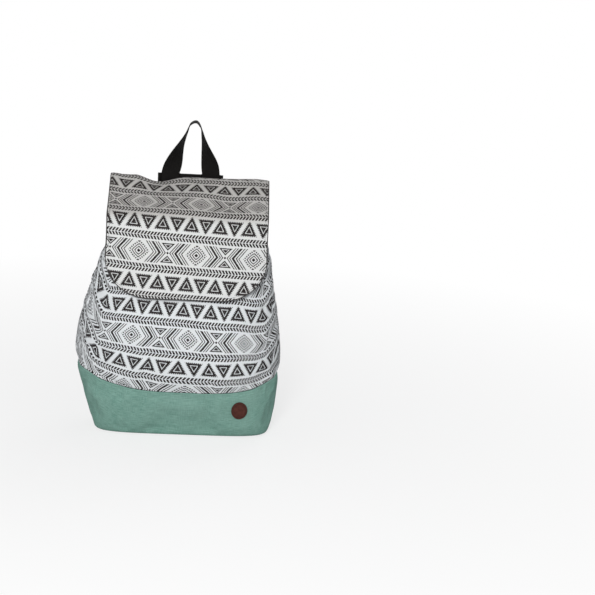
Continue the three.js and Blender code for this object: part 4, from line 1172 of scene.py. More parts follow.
flap_under = flap_lining_thickness + cloth_gap
flap = flap_cloth("flap_print", flap_under, flap_under + flap_thickness, flap_print)
flap_inner = flap_cloth("flap_inner_cloth", 0, flap_lining_thickness, lining_cloth)
dress(flap, "flap")
dress(flap_inner, "flap_lining")
print("flap route", round(float(flap_length / mm)), "mm long")

# %% [markdown]
# The strap is one length of webbing: a carrying loop over the fold, and two shoulder runs that
# pass through the band on the back and go down to the hooks. Its middle line is sampled finely,
# each station with the direction across the webbing, and one function sweeps webbing along it.
# The same function makes the band and the tabs that hold the rings.

# %% Sweeping webbing and wires
def unit(vectors):
    return vectors / np.maximum(np.linalg.norm(vectors, axis=-1, keepdims=True), 1e-12)


def webbing_piece(name, points, across, width, thickness, material, ripple=0.0):
    """Webbing along a middle line. The section has soft edges, and the flat pattern is in metres."""
    points, across = np.array(points), np.array(across)
    tangent = unit(np.gradient(points, axis=0))
    across = unit(across - tangent * np.sum(across * tangent, axis=1, keepdims=True))
    face = np.cross(tangent, across)
    wide = np.array([-1, -0.93, -0.5, 0, 0.5, 0.93, 1])
    thick = np.array([0.55, 1, 1, 1, 1, 1, 0.55])
    section = [(w, t) for w, t in zip(wide, thick)] + [(w, -t) for w, t in zip(wide[::-1], thick)]
    length = np.concatenate([[0], np.cumsum(np.linalg.norm(np.diff(points, axis=0), axis=1))])
    wave = ripple * np.sin(length / (9 * mm)) * np.sin(length / (31 * mm))
    rows = np.stack([
        points + across * (w * width / 2) + face * (t * thickness / 2 + wave * w * w)[:, None]
        for w, t in section], axis=1)
    corners = np.array([[(w * width / 2, along) for w, _ in section + section[:1]] for along in length])
    mesh = grid_mesh(name, rows, corners, around=True)
    work = bmesh.new()
    work.from_mesh(mesh)
    work.verts.ensure_lookup_table()
    layer = work.loops.layers.uv["cloth"]
    count = len(section)
    for row in (0, len(rows) - 1):
        cap = work.faces.new([work.verts[row * count + k] for k in range(count)])
        for loop, (w, _) in zip(cap.loops, section):
            loop[layer].uv = (w * width / 2, length[row])
    finish_work(work, mesh)
    mesh.materials.append(material)
    mesh.shade_smooth()
    return new_object(name, mesh)


def wire_piece(name, points, radius, material, closed=True, sides=14):
    """A round wire along a line of points, with closed ends where it isn't a ring."""
    points = np.array(points)
    if closed:
        tangent = unit(np.roll(points, -1, axis=0) - np.roll(points, 1, axis=0))
    else:
        tangent = unit(np.gradient(points, axis=0))
    normal = np.cross(tangent[0], (0.31, 0.83, 0.47))
    rows = []
    for place, ahead in zip(points, tangent):
        normal = unit(normal - ahead * np.dot(normal, ahead))
        beside = np.cross(ahead, normal)
        turns = np.arange(sides) * 2 * np.pi / sides
        rows.append(place + radius * (np.cos(turns)[:, None] * normal + np.sin(turns)[:, None] * beside))
    work = bmesh.new()
    rings = [[work.verts.new(point + origin) for point in row] for row in rows]
    for index in range(len(rings) if closed else len(rings) - 1):
        here, there = rings[index], rings[(index + 1) % len(rings)]
        shift = 0
        if closed and index == len(rings) - 1:
            gaps = [(here[0].co - vert.co).length for vert in there]
            shift = gaps.index(min(gaps))
        for k in range(sides):
            m = (k + 1) % sides
            work.faces.new((here[k], here[m], there[(m + shift) % sides], there[(k + shift) % sides]))
    if not closed:
        work.faces.new(rings[0])
        work.faces.new(rings[-1])
    mesh = bpy.data.meshes.new(name)
    finish_work(work, mesh)
    mesh.materials.append(material)
    mesh.shade_smooth()
    return new_object(name, mesh)


# %% [markdown]
# The other materials are leather, metal, thread and zip teeth. Nickel plate on cast metal isn't
# a perfect mirror: a broad noise makes it rougher where fingers and straps rub it.

# %% Other materials
def plated_metal():
    material, sums, shader = start_material("nickel_plate", 0.26, Metallic=1.0)
    place = object_place(sums)
    wear = use_group(sums, wear_group, Place=place, Size=90.0)
    tint = sums.blend(wear.outputs["Worn"], srgb(196, 198, 199), srgb(221, 220, 216))
    sums.feed(shader.inputs["Base Color"], tint)
    sums.feed(shader.inputs["Roughness"], sums.ramp(wear.outputs["Fine"], 0.3, 0.7, 0.17, 0.38))
    add_bump(sums, shader, wear.outputs["Fine"], 0.00005, 0.35)
    return material


def patch_leather_material():
    material, sums, shader = start_material("brown_leather", 0.62, **matt)
    uv = cloth_uv(sums)
    grain = sums.node("ShaderNodeTexVoronoi", feature="DISTANCE_TO_EDGE")
    sums.feed(grain.inputs["Vector"], uv)
    sums.feed(grain.inputs["Scale"], 1500.0)
    wear = use_group(sums, wear_group, Place=uv, Size=160.0)
    u, v = sums.split(uv)
    reach = sums.do("SQRT", sums.add(sums.times(u, u), sums.times(v, v)))
    groove = sums.within(reach, patch_radius - 3.1 * mm, 0.45 * mm)
    edge = sums.ramp(reach, patch_radius - 1.6 * mm, patch_radius)
    colour = sums.blend(wear.outputs["Worn"], srgb(70, 38, 32), srgb(92, 52, 44))
    colour = sums.blend(sums.times(sums.any_of(groove, edge), 0.55), colour, srgb(40, 21, 19))
    sums.feed(shader.inputs["Base Color"], colour)
    sums.feed(shader.inputs["Roughness"], sums.ramp(wear.outputs["Fine"], 0.3, 0.7, 0.5, 0.75))
    pores = sums.ramp(grain.outputs["Distance"], 0.0, 0.12)
    height = sums.add(pores, sums.times(wear.outputs["Fine"], 1.2))
    add_bump(sums, shader, sums.take(height, sums.times(groove, 2.5)), 0.00018, 0.8)
    return material


def plain_thread(name, dark, light):
    material, sums, shader = start_material(name, 0.7)
    wear = use_group(sums, wear_group, Place=object_place(sums), Size=500.0)
    sums.feed(shader.inputs["Base Color"], sums.blend(wear.outputs["Fine"], dark, light))
    return material


patch_side, patch_height = 95 * mm, 54 * mm
patch_radius, patch_thickness = 16 * mm, 1.8 * mm
nickel = plated_metal()
leather = patch_leather_material()
dark_thread = plain_thread("dark_thread", srgb(22, 20, 20), srgb(52, 48, 47))
green_thread = plain_thread("green_thread", srgb(72, 104, 94), srgb(110, 142, 131))
tooth_finish = plain_thread("zip_teeth", srgb(14, 14, 15), srgb(40, 40, 42))

# %% [markdown]
# The shoulder runs start at the hooks, which hang from D-rings on tabs near the base. Those
# places follow from the pouch's back, so they are worked out before the strap's route is.

# %% Where the hooks and the runs are
ring_width, ring_length = 34 * mm, 19 * mm
tab_thickness, tab_length = 1.3 * mm, 20 * mm
lower_tab_height, lower_tab_inset = 46 * mm, 62 * mm
lower_tab_reach = belly_width / 2 - lower_tab_inset
hook_bar_height, frame_bar = 41 * mm, 4 * mm
seat_gap = 0.3 * mm
leg_spread, loop_rise = 33 * mm, 94 * mm
band_height, band_top, band_end = 27 * mm, 424 * mm, 5 * mm
run_bow, run_flare = 38.5 * mm, 9 * mm
adjuster_along, adjuster_thickness = 150 * mm, 2.5 * mm
sewn_tail = 36 * mm
eye_inner = wire_radius + 0.25 * mm
eye_outer = eye_inner + tab_thickness


def pouch_back(x, height):
    power = float(squareness(height))
    share = min(1.0, abs(x) / float(half_width(height))) ** power
    return float(reach_back(height)) * (1 - share) ** (1 / power)


def sideways(side, vector):
    return np.asarray(vector) * np.array([side, 1, 1])


step = 1 * mm
tab_slope = (pouch_back(lower_tab_reach + step, lower_tab_height)
             - pouch_back(lower_tab_reach - step, lower_tab_height)) / (2 * step)
tab_level = unit(np.array([1, tab_slope, 0]))
tab_outward = unit(np.array([-tab_slope, 1, 0]))
ring_pull = unit(0.62 * tab_outward + np.array([0, 0, 0.78]))
lower_surface = pouch_back(lower_tab_reach, lower_tab_height)
tab_seat = np.array([lower_tab_reach, lower_surface, lower_tab_height])
ring_bar = tab_seat + tab_outward * (eye_outer + 2 * seat_gap)
ring_top = ring_bar + ring_pull * ring_length
hook_bar = ring_top + ring_pull * hook_bar_height

back_at_band = flap_back + flap_inside + flap_thickness + flap_lining_thickness + 2 * cloth_gap
leg_depth = back_at_band + seat_gap + webbing_thickness / 2
band_middle = band_top - band_height / 2
above_hook = hook_bar + ring_pull * 22 * mm
below_band = np.array([leg_spread + 1.5 * mm, leg_depth + 5.5 * mm, band_top - band_height - 16 * mm])
bow = []
for part in (0.11, 0.26, 0.42, 0.6, 0.78, 0.93):
    place = mix(above_hook, below_band, part)
    place[0] += run_flare * math.sin(math.pi * part**1.3)
    place[1] += run_bow * math.sin(math.pi * part**0.85)
    bow.append(place)
run_route, run_length = smooth_route([hook_bar, above_hook, *bow, below_band,
    (leg_spread, leg_depth + 0.2 * mm, band_top - band_height - 2 * mm),
    (leg_spread, leg_depth, band_middle - 7 * mm), (leg_spread, leg_depth, band_middle)], 1200)
run_tangents = unit(np.gradient(run_route, axis=0))


def run_points(side, along, offset):
    """Points of a shoulder run, each moved out from the middle line, and the way across there."""
    along, offset = np.broadcast_arrays(np.asarray(along, float), np.asarray(offset, float))
    index = clamp01(along / run_length) * (len(run_route) - 1)
    grid = np.arange(len(run_route))
    point = np.stack([np.interp(index, grid, run_route[:, k]) for k in range(3)], -1)
    tangent = unit(np.stack([np.interp(index, grid, run_tangents[:, k]) for k in range(3)], -1))
    point, tangent = sideways(side, point), sideways(side, tangent)
    across = unit(np.cross((0.0, 1.0, 0.0), tangent))
    outward = unit(np.cross(tangent, across))
    outward *= np.where(outward[:, 1:2] < 0, -1, 1)
    across *= np.where(across[:, :1] < 0, -1, 1)
    point = point + outward * offset[:, None] + tangent * np.minimum(0, along)[:, None]
    return point, across


print("shoulder run", round(run_length / mm), "mm long, hook bar at", hook_bar + origin)

# %% [markdown]
# Below the adjuster the webbing lies double: it goes round the hook's bar and comes back to
# the adjuster's middle bar. The loop's legs start flat on the back and turn edge-on at the top.

# %% The strap
fold_radius = frame_bar * math.sqrt(0.5) + seat_gap + 0.1 * mm + webbing_thickness / 2
layer_offset = webbing_thickness / 2 + 0.2 * mm
adjuster_plane = layer_offset + webbing_thickness / 2 + 0.45 * mm + adjuster_thickness / 2
wrap_radius = adjuster_thickness * math.sqrt(0.5) + 0.25 * mm + webbing_thickness / 2
over_wrap = adjuster_plane + wrap_radius + webbing_thickness + 0.35 * mm


def layer_spread(along):
    return mix(fold_radius, layer_offset, smooth(along / (16 * mm)))


def single_offset(along):
    return layer_spread(along) * smooth((run_length - 45 * mm - along) / (60 * mm))


def over_adjuster(along):
    share = clamp01(np.abs(along - adjuster_along) / (9.6 * mm))
    return mix(layer_offset, over_wrap, np.cos(share * np.pi / 2) ** 2)


def strap_line():
    left, right = [], []

    def lay(target, side, along, offset):
        target.append(run_points(side, along, offset))

    turn = np.linspace(-np.pi / 2, np.pi * 0.72, 22)[::-1]
    lay(left, -1, adjuster_along + np.cos(turn) * wrap_radius,
        adjuster_plane + np.sin(turn) * wrap_radius)
    part = np.linspace(0, 0.8, 12)[::-1]
    lay(left, -1, mix(adjuster_along - 13 * mm, adjuster_along, part),
        mix(-layer_offset, adjuster_plane - wrap_radius, smooth(part)))
    down = np.linspace(0, adjuster_along - 16 * mm, 70)[::-1]
    lay(left, -1, down, -layer_spread(down))
    turn = np.linspace(0, np.pi, 18)[1:-1]
    lay(left, -1, -np.sin(turn) * fold_radius, -np.cos(turn) * fold_radius)
    up = np.linspace(0, adjuster_along - 12 * mm, 70)
    lay(left, -1, up, layer_spread(up))
    over = np.linspace(adjuster_along - 11 * mm, adjuster_along + 11 * mm, 30)
    lay(left, -1, over, over_adjuster(over))
    rest = np.linspace(adjuster_along + 14 * mm, run_length, 90)
    lay(left, -1, rest, single_offset(rest))
    rest = np.linspace(0, run_length, 150)[::-1]
    lay(right, 1, rest, single_offset(rest))
    turn = np.linspace(0, np.pi, 18)[1:-1]
    lay(right, 1, -np.sin(turn) * fold_radius, np.cos(turn) * fold_radius)
    tail = np.linspace(0, sewn_tail, 18)
    lay(right, 1, tail, -layer_spread(tail))
    loop, _ = smooth_route([
        (-leg_spread, leg_depth, band_middle + 3 * mm),
        (-leg_spread, leg_depth, band_top),
        (-leg_spread + 4 * mm, leg_depth - 1 * mm, band_top + 14 * mm),
        (-20 * mm, leg_depth - 2 * mm, band_top + 42 * mm),
        (-8.5 * mm, leg_depth - 3 * mm, band_top + 68 * mm),
        (-2 * mm, leg_depth - 3 * mm, band_top + loop_rise - 11.5 * mm),
        (7 * mm, leg_depth - 3 * mm, band_top + loop_rise - 8 * mm),
        (14 * mm, leg_depth - 3 * mm, band_top + loop_rise - 16 * mm),
        (19 * mm, leg_depth - 3 * mm, band_top + 60 * mm),
        (25 * mm, leg_depth - 2 * mm, band_top + 38 * mm),
        (leg_spread - 2 * mm, leg_depth - 1 * mm, band_top + 14 * mm),
        (leg_spread, leg_depth, band_top),
        (leg_spread, leg_depth, band_middle + 3 * mm),
    ], 140)
    part = np.linspace(0, 1, len(loop))
    from_top = clamp01(np.abs(part - 0.5) / (0.5 - 0.09))
    twist = (np.pi / 2) * (1 + np.sign(part - 0.5) * from_top**2)
    loop_across = np.stack([np.cos(twist), np.sin(twist), 0 * twist], -1)
    points = np.concatenate([p for p, _ in left] + [loop] + [p for p, _ in right])
    across = np.concatenate([a for _, a in left] + [loop_across] + [-a for _, a in right])
    return points, across


strap_points, strap_across = strap_line()
strap = webbing_piece("strap_webbing", strap_points, strap_across, webbing_width, webbing_thickness,
                      webbing_cloth, ripple=0.12 * mm)
dress(strap, "strap")
strap_length = float(np.linalg.norm(np.diff(strap_points, axis=0), axis=1).sum())
print("strap", round(strap_length, 3), "m of webbing,", len(strap_points), "stations")

# %% [markdown]
# The band is a strip sewn flat at its ends and middle, raised over each leg of the strap.

# %% The band on the back
channel = webbing_width / 2 + 0.8 * mm
rise = webbing_thickness + 3 * seat_gap
half_band = [
    (0, 0), (leg_spread - channel - 1.6 * mm, 0), (leg_spread - channel - 0.7 * mm, 0.4 * rise),
    (leg_spread - channel + 0.6 * mm, rise * 0.93), (leg_spread - channel + 4 * mm, rise),
    (leg_spread, rise + 0.15 * mm), (leg_spread + channel - 4 * mm, rise),
    (leg_spread + channel - 0.6 * mm, rise * 0.93), (leg_spread + channel + 0.7 * mm, 0.4 * rise),
    (leg_spread + channel + 1.6 * mm, 0), (leg_spread + channel + band_end, 0),
]
whole_band = [(-x, y) for x, y in half_band[:0:-1]] + half_band
band_route, _ = smooth_route([(x, back_at_band + webbing_thickness / 2 + y, band_middle)
                              for x, y in whole_band], 160)
band = webbing_piece("band_webbing", band_route, np.tile((0, 0, 1.0), (160, 1)), band_height,
                     webbing_thickness, webbing_cloth)
dress(band, "strap_band")


# %% [markdown]
# D-rings are bent from round wire. Each hangs in the eye of a folded tab. A small frame of three
# directions places a ring or a tab: along its bar, out from the cloth, and along the pull.

# %% Rings and tabs
class Place:
    """A place on the bag with directions: along the bar, outwards, and along the pull."""

    def __init__(self, point, pull, level):
        self.point, self.pull = np.array(point), unit(np.array(pull))
        self.along = unit(np.array(level) - self.pull * np.dot(self.pull, level))
        self.out = np.cross(self.pull, self.along)

    def at(self, x, y, z):
        return (self.point + np.multiply.outer(x, self.along) + np.multiply.outer(y, self.out)
                + np.multiply.outer(z, self.pull))


def ring_line(place, width, length):
    half = width / 2 - wire_radius
    straight = length * 0.35
    turn = np.linspace(0, np.pi, 40)
    bend = 1.6 * mm
    bar = np.linspace(-half + bend, half - bend, 12)
    corner = np.linspace(0, np.pi / 2, 6)[1:-1]
    x = np.concatenate([bar, half - bend + np.sin(corner) * bend, np.cos(turn) * half,
                        -(half - bend + np.sin(corner[::-1]) * bend)])
    z = np.concatenate([0 * bar - length, -length + bend * (1 - np.cos(corner)),
                        -length + straight + np.sin(turn) * (length - straight),
                        -length + bend * (1 - np.cos(corner[::-1]))])
    return place.at(x, 0 * x, z)


def tab_line(place, tail):
    """The tape goes up from the tail, round the bar, and back down on itself."""
    radius = eye_outer - tab_thickness / 2
    low = np.linspace(-tail, -1.0 * mm, 16)
    first = np.stack([0 * low - radius, low], -1)
    turn = np.linspace(np.pi, -0.55, 22)
    eye = np.stack([np.cos(turn) * radius, np.sin(turn) * radius], -1)
    back = [(-radius + tab_thickness * 1.35, -5.2 * mm), (-radius + tab_thickness * 1.04, -8 * mm)]
    rest = [(-radius + tab_thickness * 1.02, z) for z in np.linspace(-10 * mm, -tail + 0.4 * mm, 8)]
    line, _ = smooth_route(np.concatenate([first, eye, back, rest]), 110)
    return place.at(0 * line[:, 0], line[:, 0], line[:, 1])


def add_ring(name, body, place, width, length):
    ring = wire_piece(name + "_wire", ring_line(place, width, length), wire_radius, nickel)
    dress(ring, name, body)


def add_tab(name, place, width, tail):
    line = tab_line(place, tail)
    tab = webbing_piece(name + "_tape", line, np.tile(place.along, (len(line), 1)), width,
                        tab_thickness, webbing_cloth)
    dress(tab, name)


def rightward(vector):
    return -np.array(vector) if vector[0] < 0 else np.array(vector)


top_ring_width, top_ring_length, top_ring_inset = 29 * mm, 15 * mm, 22 * mm
top_tab_length = 14 * mm
tape_thickness = 1.1 * mm
tape_drop = tape_thickness + seat_gap + 1.2 * mm
chain_depth = mix(mouth_front, mouth_back, 0.5)
plane_point = np.array([0, chain_depth, mouth_plane(chain_depth)])
along_plane = np.array([0, math.cos(mouth_angle), math.sin(mouth_angle)])
off_plane = np.array([0, -math.sin(mouth_angle), math.cos(mouth_angle)])
tape_lift = -tape_drop / 2
for label, side in (("left", -1), ("right", 1)):
    bar_line = rightward(sideways(side, tab_level))
    top = Place(sideways(side, ring_top), sideways(side, ring_pull), bar_line)
    add_ring(f"lower_ring_{label}", f"lower_ring_{label}_body", top, ring_width, ring_length)
    surface_low = pouch_back(lower_tab_reach, lower_tab_height - tab_length)
    lean = math.atan2(lower_surface - surface_low, tab_length)
    tab_up = sideways(side, tab_outward) * math.sin(lean)
    tab_up[2] = math.cos(lean)
    tab_place = Place(sideways(side, ring_bar), tab_up, bar_line)
    add_tab(f"lower_tab_{label}", tab_place, ring_width - 4 * wire_radius - 2 * mm, tab_length)
    eye_lift = tape_lift + tape_thickness / 2 + eye_outer + seat_gap
    top_bar = plane_point + off_plane * eye_lift
    top_bar[0] = side * (mouth_width / 2 - top_ring_inset)
    outer = Place(top_bar, (-side, 0, 0), -side * along_plane)
    top_end = Place(outer.at(0, 0, top_ring_length), outer.pull, outer.along)
    add_ring(f"top_ring_{label}", f"top_ring_{label}_body", top_end, top_ring_width, top_ring_length)
    add_tab(f"top_tab_{label}", outer, top_ring_width - 4 * wire_radius - 2 * mm, top_tab_length)

# %% [markdown]
# The cast parts keep their exact solids, so that they still turn on their pins. A small bevel
# breaks their edges, which castings and plating never leave sharp.

# %% Cast metal parts
cast_parts = ["zip_slider", "zip_pull", "slide_adjuster"]
for label in ("left", "right"):
    cast_parts += [f"hook_{label}", f"hook_gate_{label}", f"gate_pin_{label}", f"hook_frame_{label}"]
for name in cast_parts:
    node = frame["nodes"][name]
    node.data.materials.clear()
    node.data.materials.append(nickel)
    if not name.startswith("gate_pin"):
        soft_edge = node.modifiers.new("broken edges", "BEVEL")
        soft_edge.width = 0.35 * mm
        soft_edge.segments = 2
        soft_edge.limit_method = "ANGLE"
        soft_edge.angle_limit = math.radians(38)
        soft_edge.harden_normals = False
print("cast parts finished:", len(cast_parts))

# %% [markdown]
# The zip's tapes lie in the plane of the mouth. Their outline is the mouth's own rim, drawn in a
# little. Teeth are set along both tape edges by a node tree, which is described further down.

# %% Zip tapes
tooth_pitch, tooth_reach = 5 * mm, 1.5 * mm
tooth_size = (2.0 * mm, 3.2 * mm, 1.7 * mm)
tooth_root = tooth_reach + 0.35 * mm
chain_left, chain_right = 24 * mm - mouth_width / 2, mouth_width / 2 - 58 * mm


def zip_tape(name, side):
    inset = canvas_thickness + seat_gap + tape_drop * math.sin(mouth_angle)
    turn = np.linspace(0, np.pi, 121)
    angle = turn if side > 0 else 2 * np.pi - turn
    rim = pouch_point(angle, mouth_height(angle, 0, inset), inset)
    rim_x, rim_y = rim[:, 0], (rim - plane_point) @ along_plane
    keep = side * rim_y > tooth_root + 1.5 * mm
    rim_x, rim_y = rim_x[keep], rim_y[keep]
    order = np.argsort(rim_x)
    rim_x, rim_y = rim_x[order], rim_y[order]
    x = np.linspace(rim_x[0], rim_x[-1], 120)
    far = np.interp(x, rim_x, rim_y)
    rows = []
    for share in np.linspace(0, 1, 10):
        y = mix(side * tooth_root, far, share)
        sag = -0.5 * mm * np.sin(np.pi * share) * (1 + 0.3 * np.sin(x * 60))
        rows.append(plane_point + np.outer(x, (1, 0, 0)) + np.outer(y, along_plane)
                    + np.outer(tape_lift + sag * 0.4, off_plane))
    points = np.array(rows)
    uvs = np.stack([np.broadcast_to(x, points.shape[:2]),
                    (points - plane_point) @ along_plane], axis=-1)
    piece = new_object(name, grid_mesh(name, points, uvs, flip=side < 0))
    finish_cloth(piece, tape_cloth, 0.9 * mm, levels=0)
    piece.modifiers["wall"].offset = 0
    return piece


for name, node, side in (("tape_front", "zip_tape_front", -1), ("tape_back", "zip_tape_back", 1)):
    tape = zip_tape(name, side)
    dress(tape, node)

# %% [markdown]
# A dark lining hangs inside the pouch, a little smaller, up to the zip tapes.

# %% Lining
lining_inset = canvas_thickness + 2.4 * mm
rows = []
lining_angle = np.arange(112) / 112 * 2 * np.pi + np.pi
for share in np.linspace(0, 1, 30) ** 1.2:
    high = mouth_height(lining_angle, tape_drop + seat_gap, lining_inset)
    height = mix(lining_inset, high, share)
    inset = lining_inset + bottom_inset(height - lining_inset)
    wrinkle = np.sin(lining_angle * 17 + share * 9) * 0.4 * mm * math.sin(math.pi * share)
    rows.append(pouch_point(lining_angle, height, inset + 3.0 * mm + wrinkle))
lowest = rows[0]
rows = [lowest * np.array([share, share, 1.0]) for share in (0.03, 0.28, 0.52, 0.76)] + rows
lining_points = np.array(rows)
girth = np.linalg.norm(np.diff(lining_points[12], axis=0), axis=1).sum()
lining_uv = np.stack(np.broadcast_arrays(
    np.linspace(0, girth, 113)[None, :],
    np.concatenate([lining_points[..., 2], lining_points[:, :1, 2]], axis=1)), axis=-1)
lining_mesh = grid_mesh("lining_bag", lining_points, lining_uv, around=True)
close_floor(lining_mesh, 112)
lining = new_object("lining_bag", lining_mesh)
finish_cloth(lining, lining_cloth, 0.6 * mm)
dress(lining, "lining")

# %% [markdown]
# The leather patch is a thick disc that follows the canvas round the corner of the bag.
# Its rim is rounded, and its face carries only a pressed ring, which the material draws.

# %% Leather patch
def pouch_front(x, height):
    power = squareness(height)
    share = np.minimum(0.999, np.abs(x) / half_width(height)) ** power
    return -reach_front(height) * (1 - share) ** (1 / power)


def on_front(x, height, offset):
    step = 0.5 * mm
    dx = (pouch_front(x + step, height) - pouch_front(x - step, height)) / (2 * step)
    dz = (pouch_front(x, height + step) - pouch_front(x, height - step)) / (2 * step)
    normal = unit(np.stack([dx, -np.ones_like(dx), dz], -1))
    return np.stack([x, pouch_front(x, height), height], -1) + normal * np.asarray(offset)[..., None]


patch_shrink = 0.82
patch_turns = np.arange(72) * 2 * np.pi / 72
patch_profile = [(share, patch_thickness + 0.25 * mm * (1 - share**2))
                 for share in (0.04, 0.3, 0.55, 0.78, 0.9)]
patch_profile += [(0.96, patch_thickness * 0.97), (0.99, patch_thickness * 0.8),
                  (1.0, patch_thickness * 0.5), (0.99, 0.12 * mm),
                  (0.95, 0.0), (0.5, 0.0), (0.04, 0.0)]
patch_rows, patch_uvs = [], []
for share, lift in patch_profile:
    x = patch_side + np.cos(patch_turns) * patch_radius * patch_shrink * share
    z = patch_height + np.sin(patch_turns) * patch_radius * share
    patch_rows.append(on_front(x, z, np.full(72, seat_gap + lift)))
    turns = np.append(patch_turns, 2 * np.pi)
    patch_uvs.append(np.stack([np.cos(turns), np.sin(turns)], -1) * patch_radius * share)
patch_mesh = grid_mesh("leather_disc", np.array(patch_rows), np.array(patch_uvs), around=True)
work = bmesh.new()
work.from_mesh(patch_mesh)
work.verts.ensure_lookup_table()
layer = work.loops.layers.uv["cloth"]
for first in (0, (len(patch_profile) - 1) * 72):
    work.verts.ensure_lookup_table()
    ring = [work.verts[first + k] for k in range(72)]
    centre = work.verts.new(sum((vert.co for vert in ring), Vector()) / 72)
    for k in range(72):
        face = work.faces.new((centre, ring[k], ring[(k + 1) % 72]))
        for loop in face.loops:
            loop[layer].uv = (0, 0)
finish_work(work, patch_mesh)
patch_mesh.materials.append(leather)
patch_mesh.shade_smooth()
patch = new_object("leather_disc", patch_mesh)
dress(patch, "leather_patch")

# %% [markdown]
# Stitches and zip teeth repeat along a line, so one Geometry Nodes tree makes them all. It takes
# a line of edges, resamples it by a pitch, and sets a thread or a block at every point, turned
# along the line. The result is realized, gets its material, and is turned into a plain mesh.

# %% A tree for stitches and teeth
def make_repeat_tree():
    tree = bpy.data.node_groups.new("repeats_along_a_line", "GeometryNodeTree")
    sockets = {}
    for label, kind in (("Line", "Geometry"), ("Pitch", "Float"), ("Size", "Vector"),
                        ("Blocks", "Bool"), ("Seed", "Int"), ("Finish", "Material")):
        sockets[label] = tree.interface.new_socket(label, in_out="INPUT",
                                                   socket_type="NodeSocket" + kind).identifier
    tree.interface.new_socket("Pieces", in_out="OUTPUT", socket_type="NodeSocketGeometry")

    def node(kind, **settings):
        made = tree.nodes.new(kind)
        for name, value in settings.items():
            setattr(made, name, value)
        return made

    def link(source, output, target, socket):
        tree.links.new(source.outputs[output], target.inputs[socket])

    given, result = node("NodeGroupInput"), node("NodeGroupOutput")
    curve = node("GeometryNodeMeshToCurve")
    even = node("GeometryNodeResampleCurve", mode="LENGTH")
    thread = node("GeometryNodeMeshIcoSphere")
    thread.inputs["Radius"].default_value = 0.5
    thread.inputs["Subdivisions"].default_value = 2
    block = node("GeometryNodeMeshCube")
    block.inputs["Size"].default_value = (1, 1, 1)
    block.inputs["Vertices X"].default_value = 3
    choice = node("GeometryNodeSwitch", input_type="GEOMETRY")
    sized = node("GeometryNodeTransform")
    tangent = node("GeometryNodeInputTangent")
    turned = node("FunctionNodeAlignRotationToVector", axis="X")
    jitter = node("FunctionNodeRandomValue", data_type="FLOAT")
    jitter.inputs[2].default_value = 0.88
    jitter.inputs[3].default_value = 1.08
    repeat = node("GeometryNodeInstanceOnPoints")
    real = node("GeometryNodeRealizeInstances")
    finish = node("GeometryNodeSetMaterial")
    link(given, "Line", curve, "Mesh")
    link(curve, "Curve", even, "Curve")
    link(given, "Pitch", even, "Length")
    link(given, "Blocks", choice, "Switch")
    link(thread, "Mesh", choice, "False")
    link(block, "Mesh", choice, "True")
    link(choice, "Output", sized, "Geometry")
    link(given, "Size", sized, "Scale")
    link(given, "Seed", jitter, "Seed")
    link(tangent, "Tangent", turned, "Vector")
    link(even, "Curve", repeat, "Points")
    link(sized, "Geometry", repeat, "Instance")
    link(turned, "Rotation", repeat, "Rotation")
    tree.links.new(jitter.outputs[1], repeat.inputs["Scale"])
    link(repeat, "Instances", real, "Geometry")
    link(real, "Geometry", finish, "Geometry")
    link(given, "Finish", finish, "Material")
    link(finish, "Geometry", result, "Pieces")
    return tree, sockets


repeat_tree, repeat_sockets = make_repeat_tree()


def repeat_along(name, lines, pitch, size, material, blocks=False, seed=3):
    """Threads or blocks along one or more lines, each a list of points and whether it closes."""
    places, edges = [], []
    for points, closed in lines:
        first = len(places)
        places += (np.array(points) + origin).tolist()
        edges += [(k, k + 1) for k in range(first, len(places) - 1)]
        if closed:
            edges.append((len(places) - 1, first))
    mesh = bpy.data.meshes.new(name)
    mesh.from_pydata(places, edges, [])
    piece = new_object(name, mesh)
    repeats = piece.modifiers.new("repeats", "NODES")
    repeats.node_group = repeat_tree
    for label, value in (("Pitch", pitch), ("Size", size), ("Blocks", blocks), ("Seed", seed),
                         ("Finish", material)):
        repeats[repeat_sockets[label]] = value
    bake_modifiers(piece)
    piece.data.shade_smooth()
    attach(piece, "bag")
    return piece


# %% [markdown]
# The canvas is topstitched below the seam, the flap along its edge, and the band at its ends and
# middle. Each line is taken from the finished surface and lifted by a thread's height.

# %% Stitches
thread_size = (2.7 * mm, 0.75 * mm, 0.6 * mm)
stitch_pitch = 3.4 * mm
below_seam = mix(pouch[seam_row], pouch[seam_row - 1], 0.6)
below_seam = below_seam + outward_normals(pouch)[seam_row - 1] * 0.12 * mm
seam_stitches = repeat_along("seam_stitches", [(below_seam, True)], stitch_pitch, thread_size,
                             green_thread)

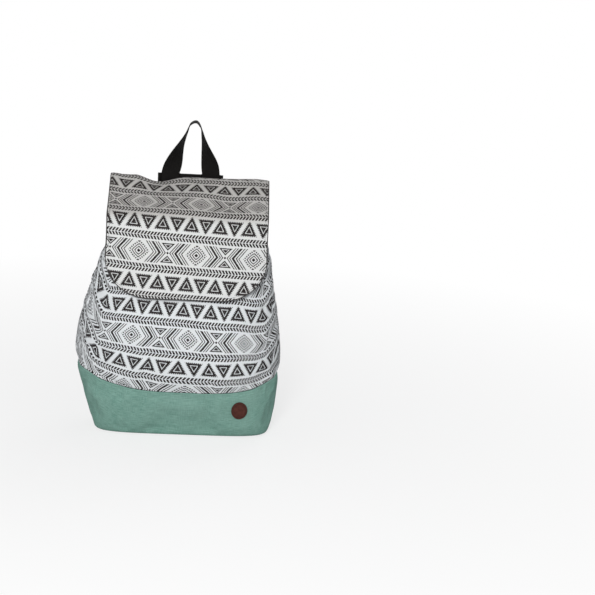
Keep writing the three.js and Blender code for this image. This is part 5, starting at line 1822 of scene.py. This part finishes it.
edge_inset = 4 * mm
edge_u, edge_v = 1 - edge_inset / (flap_width / 2), 1 - edge_inset / flap_length
down = np.linspace(0.035, edge_v, 130)
hem_u = edge_u * np.sin(np.linspace(-np.pi / 2, np.pi / 2, 150))[1:-1]
edge_path = [(-edge_u, v) for v in down]
edge_path += [(u, edge_v) for u in hem_u] + [(edge_u, v) for v in down[::-1]]
path_u, path_v = np.array(edge_path).T
lift = flap_under + flap_thickness + 0.1 * mm
flap_edge_line = flap_point(path_u, path_v, lift, flap_waves(path_u, path_v))
flap_stitches = repeat_along("flap_stitches", [(flap_edge_line, True)], stitch_pitch, thread_size,
                             dark_thread)
# A dark cord round the flap's rim: its dark rolled edge, and partly painted shadow under the hem.
rim_v = np.linspace(0.03, 1.0, 150)
rim_u = np.sin(np.linspace(-np.pi / 2, np.pi / 2, 190))[1:-1]
rim_path = [(-1, v) for v in rim_v] + [(u, 1.0) for u in rim_u] + [(1, v) for v in rim_v[::-1]]
path_u, path_v = np.array(rim_path).T
rim_lift = flap_under + flap_thickness * 0.45
rim_line, _ = smooth_route(flap_point(path_u, path_v, rim_lift, flap_waves(path_u, path_v))[::3], 420)
flap_rim_cord_and_shadow = wire_piece("flap_rim_cord_and_shadow", rim_line, 1.05 * mm, dark_thread, closed=False, sides=8)
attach(flap_rim_cord_and_shadow, "bag")

webbing_lines = []
for x in (-leg_spread - channel - 2.9 * mm, -7 * mm, 7 * mm, leg_spread + channel + 2.9 * mm):
    z = np.linspace(-band_height / 2 + 2.5 * mm, band_height / 2 - 2.5 * mm, 12)
    y = back_at_band + webbing_thickness + 0.05 * mm
    webbing_lines.append((np.stack([x + 0 * z, y + 0 * z, band_middle + z], -1), False))
webbing_stitches = repeat_along("webbing_stitches", webbing_lines, stitch_pitch * 0.85,
                                thread_size, dark_thread)
teeth_lines = []
for side, shift in ((-1, 0.0), (1, tooth_pitch / 2)):
    x = np.linspace(chain_left + shift, chain_right + shift, 60)
    line = (plane_point + np.outer(x, (1, 0, 0)) + np.outer(0 * x + side * 0.2 * mm, along_plane)
            + np.outer(0 * x + tape_lift, off_plane))
    teeth_lines.append((line, False))
teeth = repeat_along("zip_teeth", teeth_lines, tooth_pitch, tooth_size, tooth_finish,
                     blocks=True, seed=5)
print("stitches:", len(seam_stitches.data.polygons), len(flap_stitches.data.polygons), "faces")
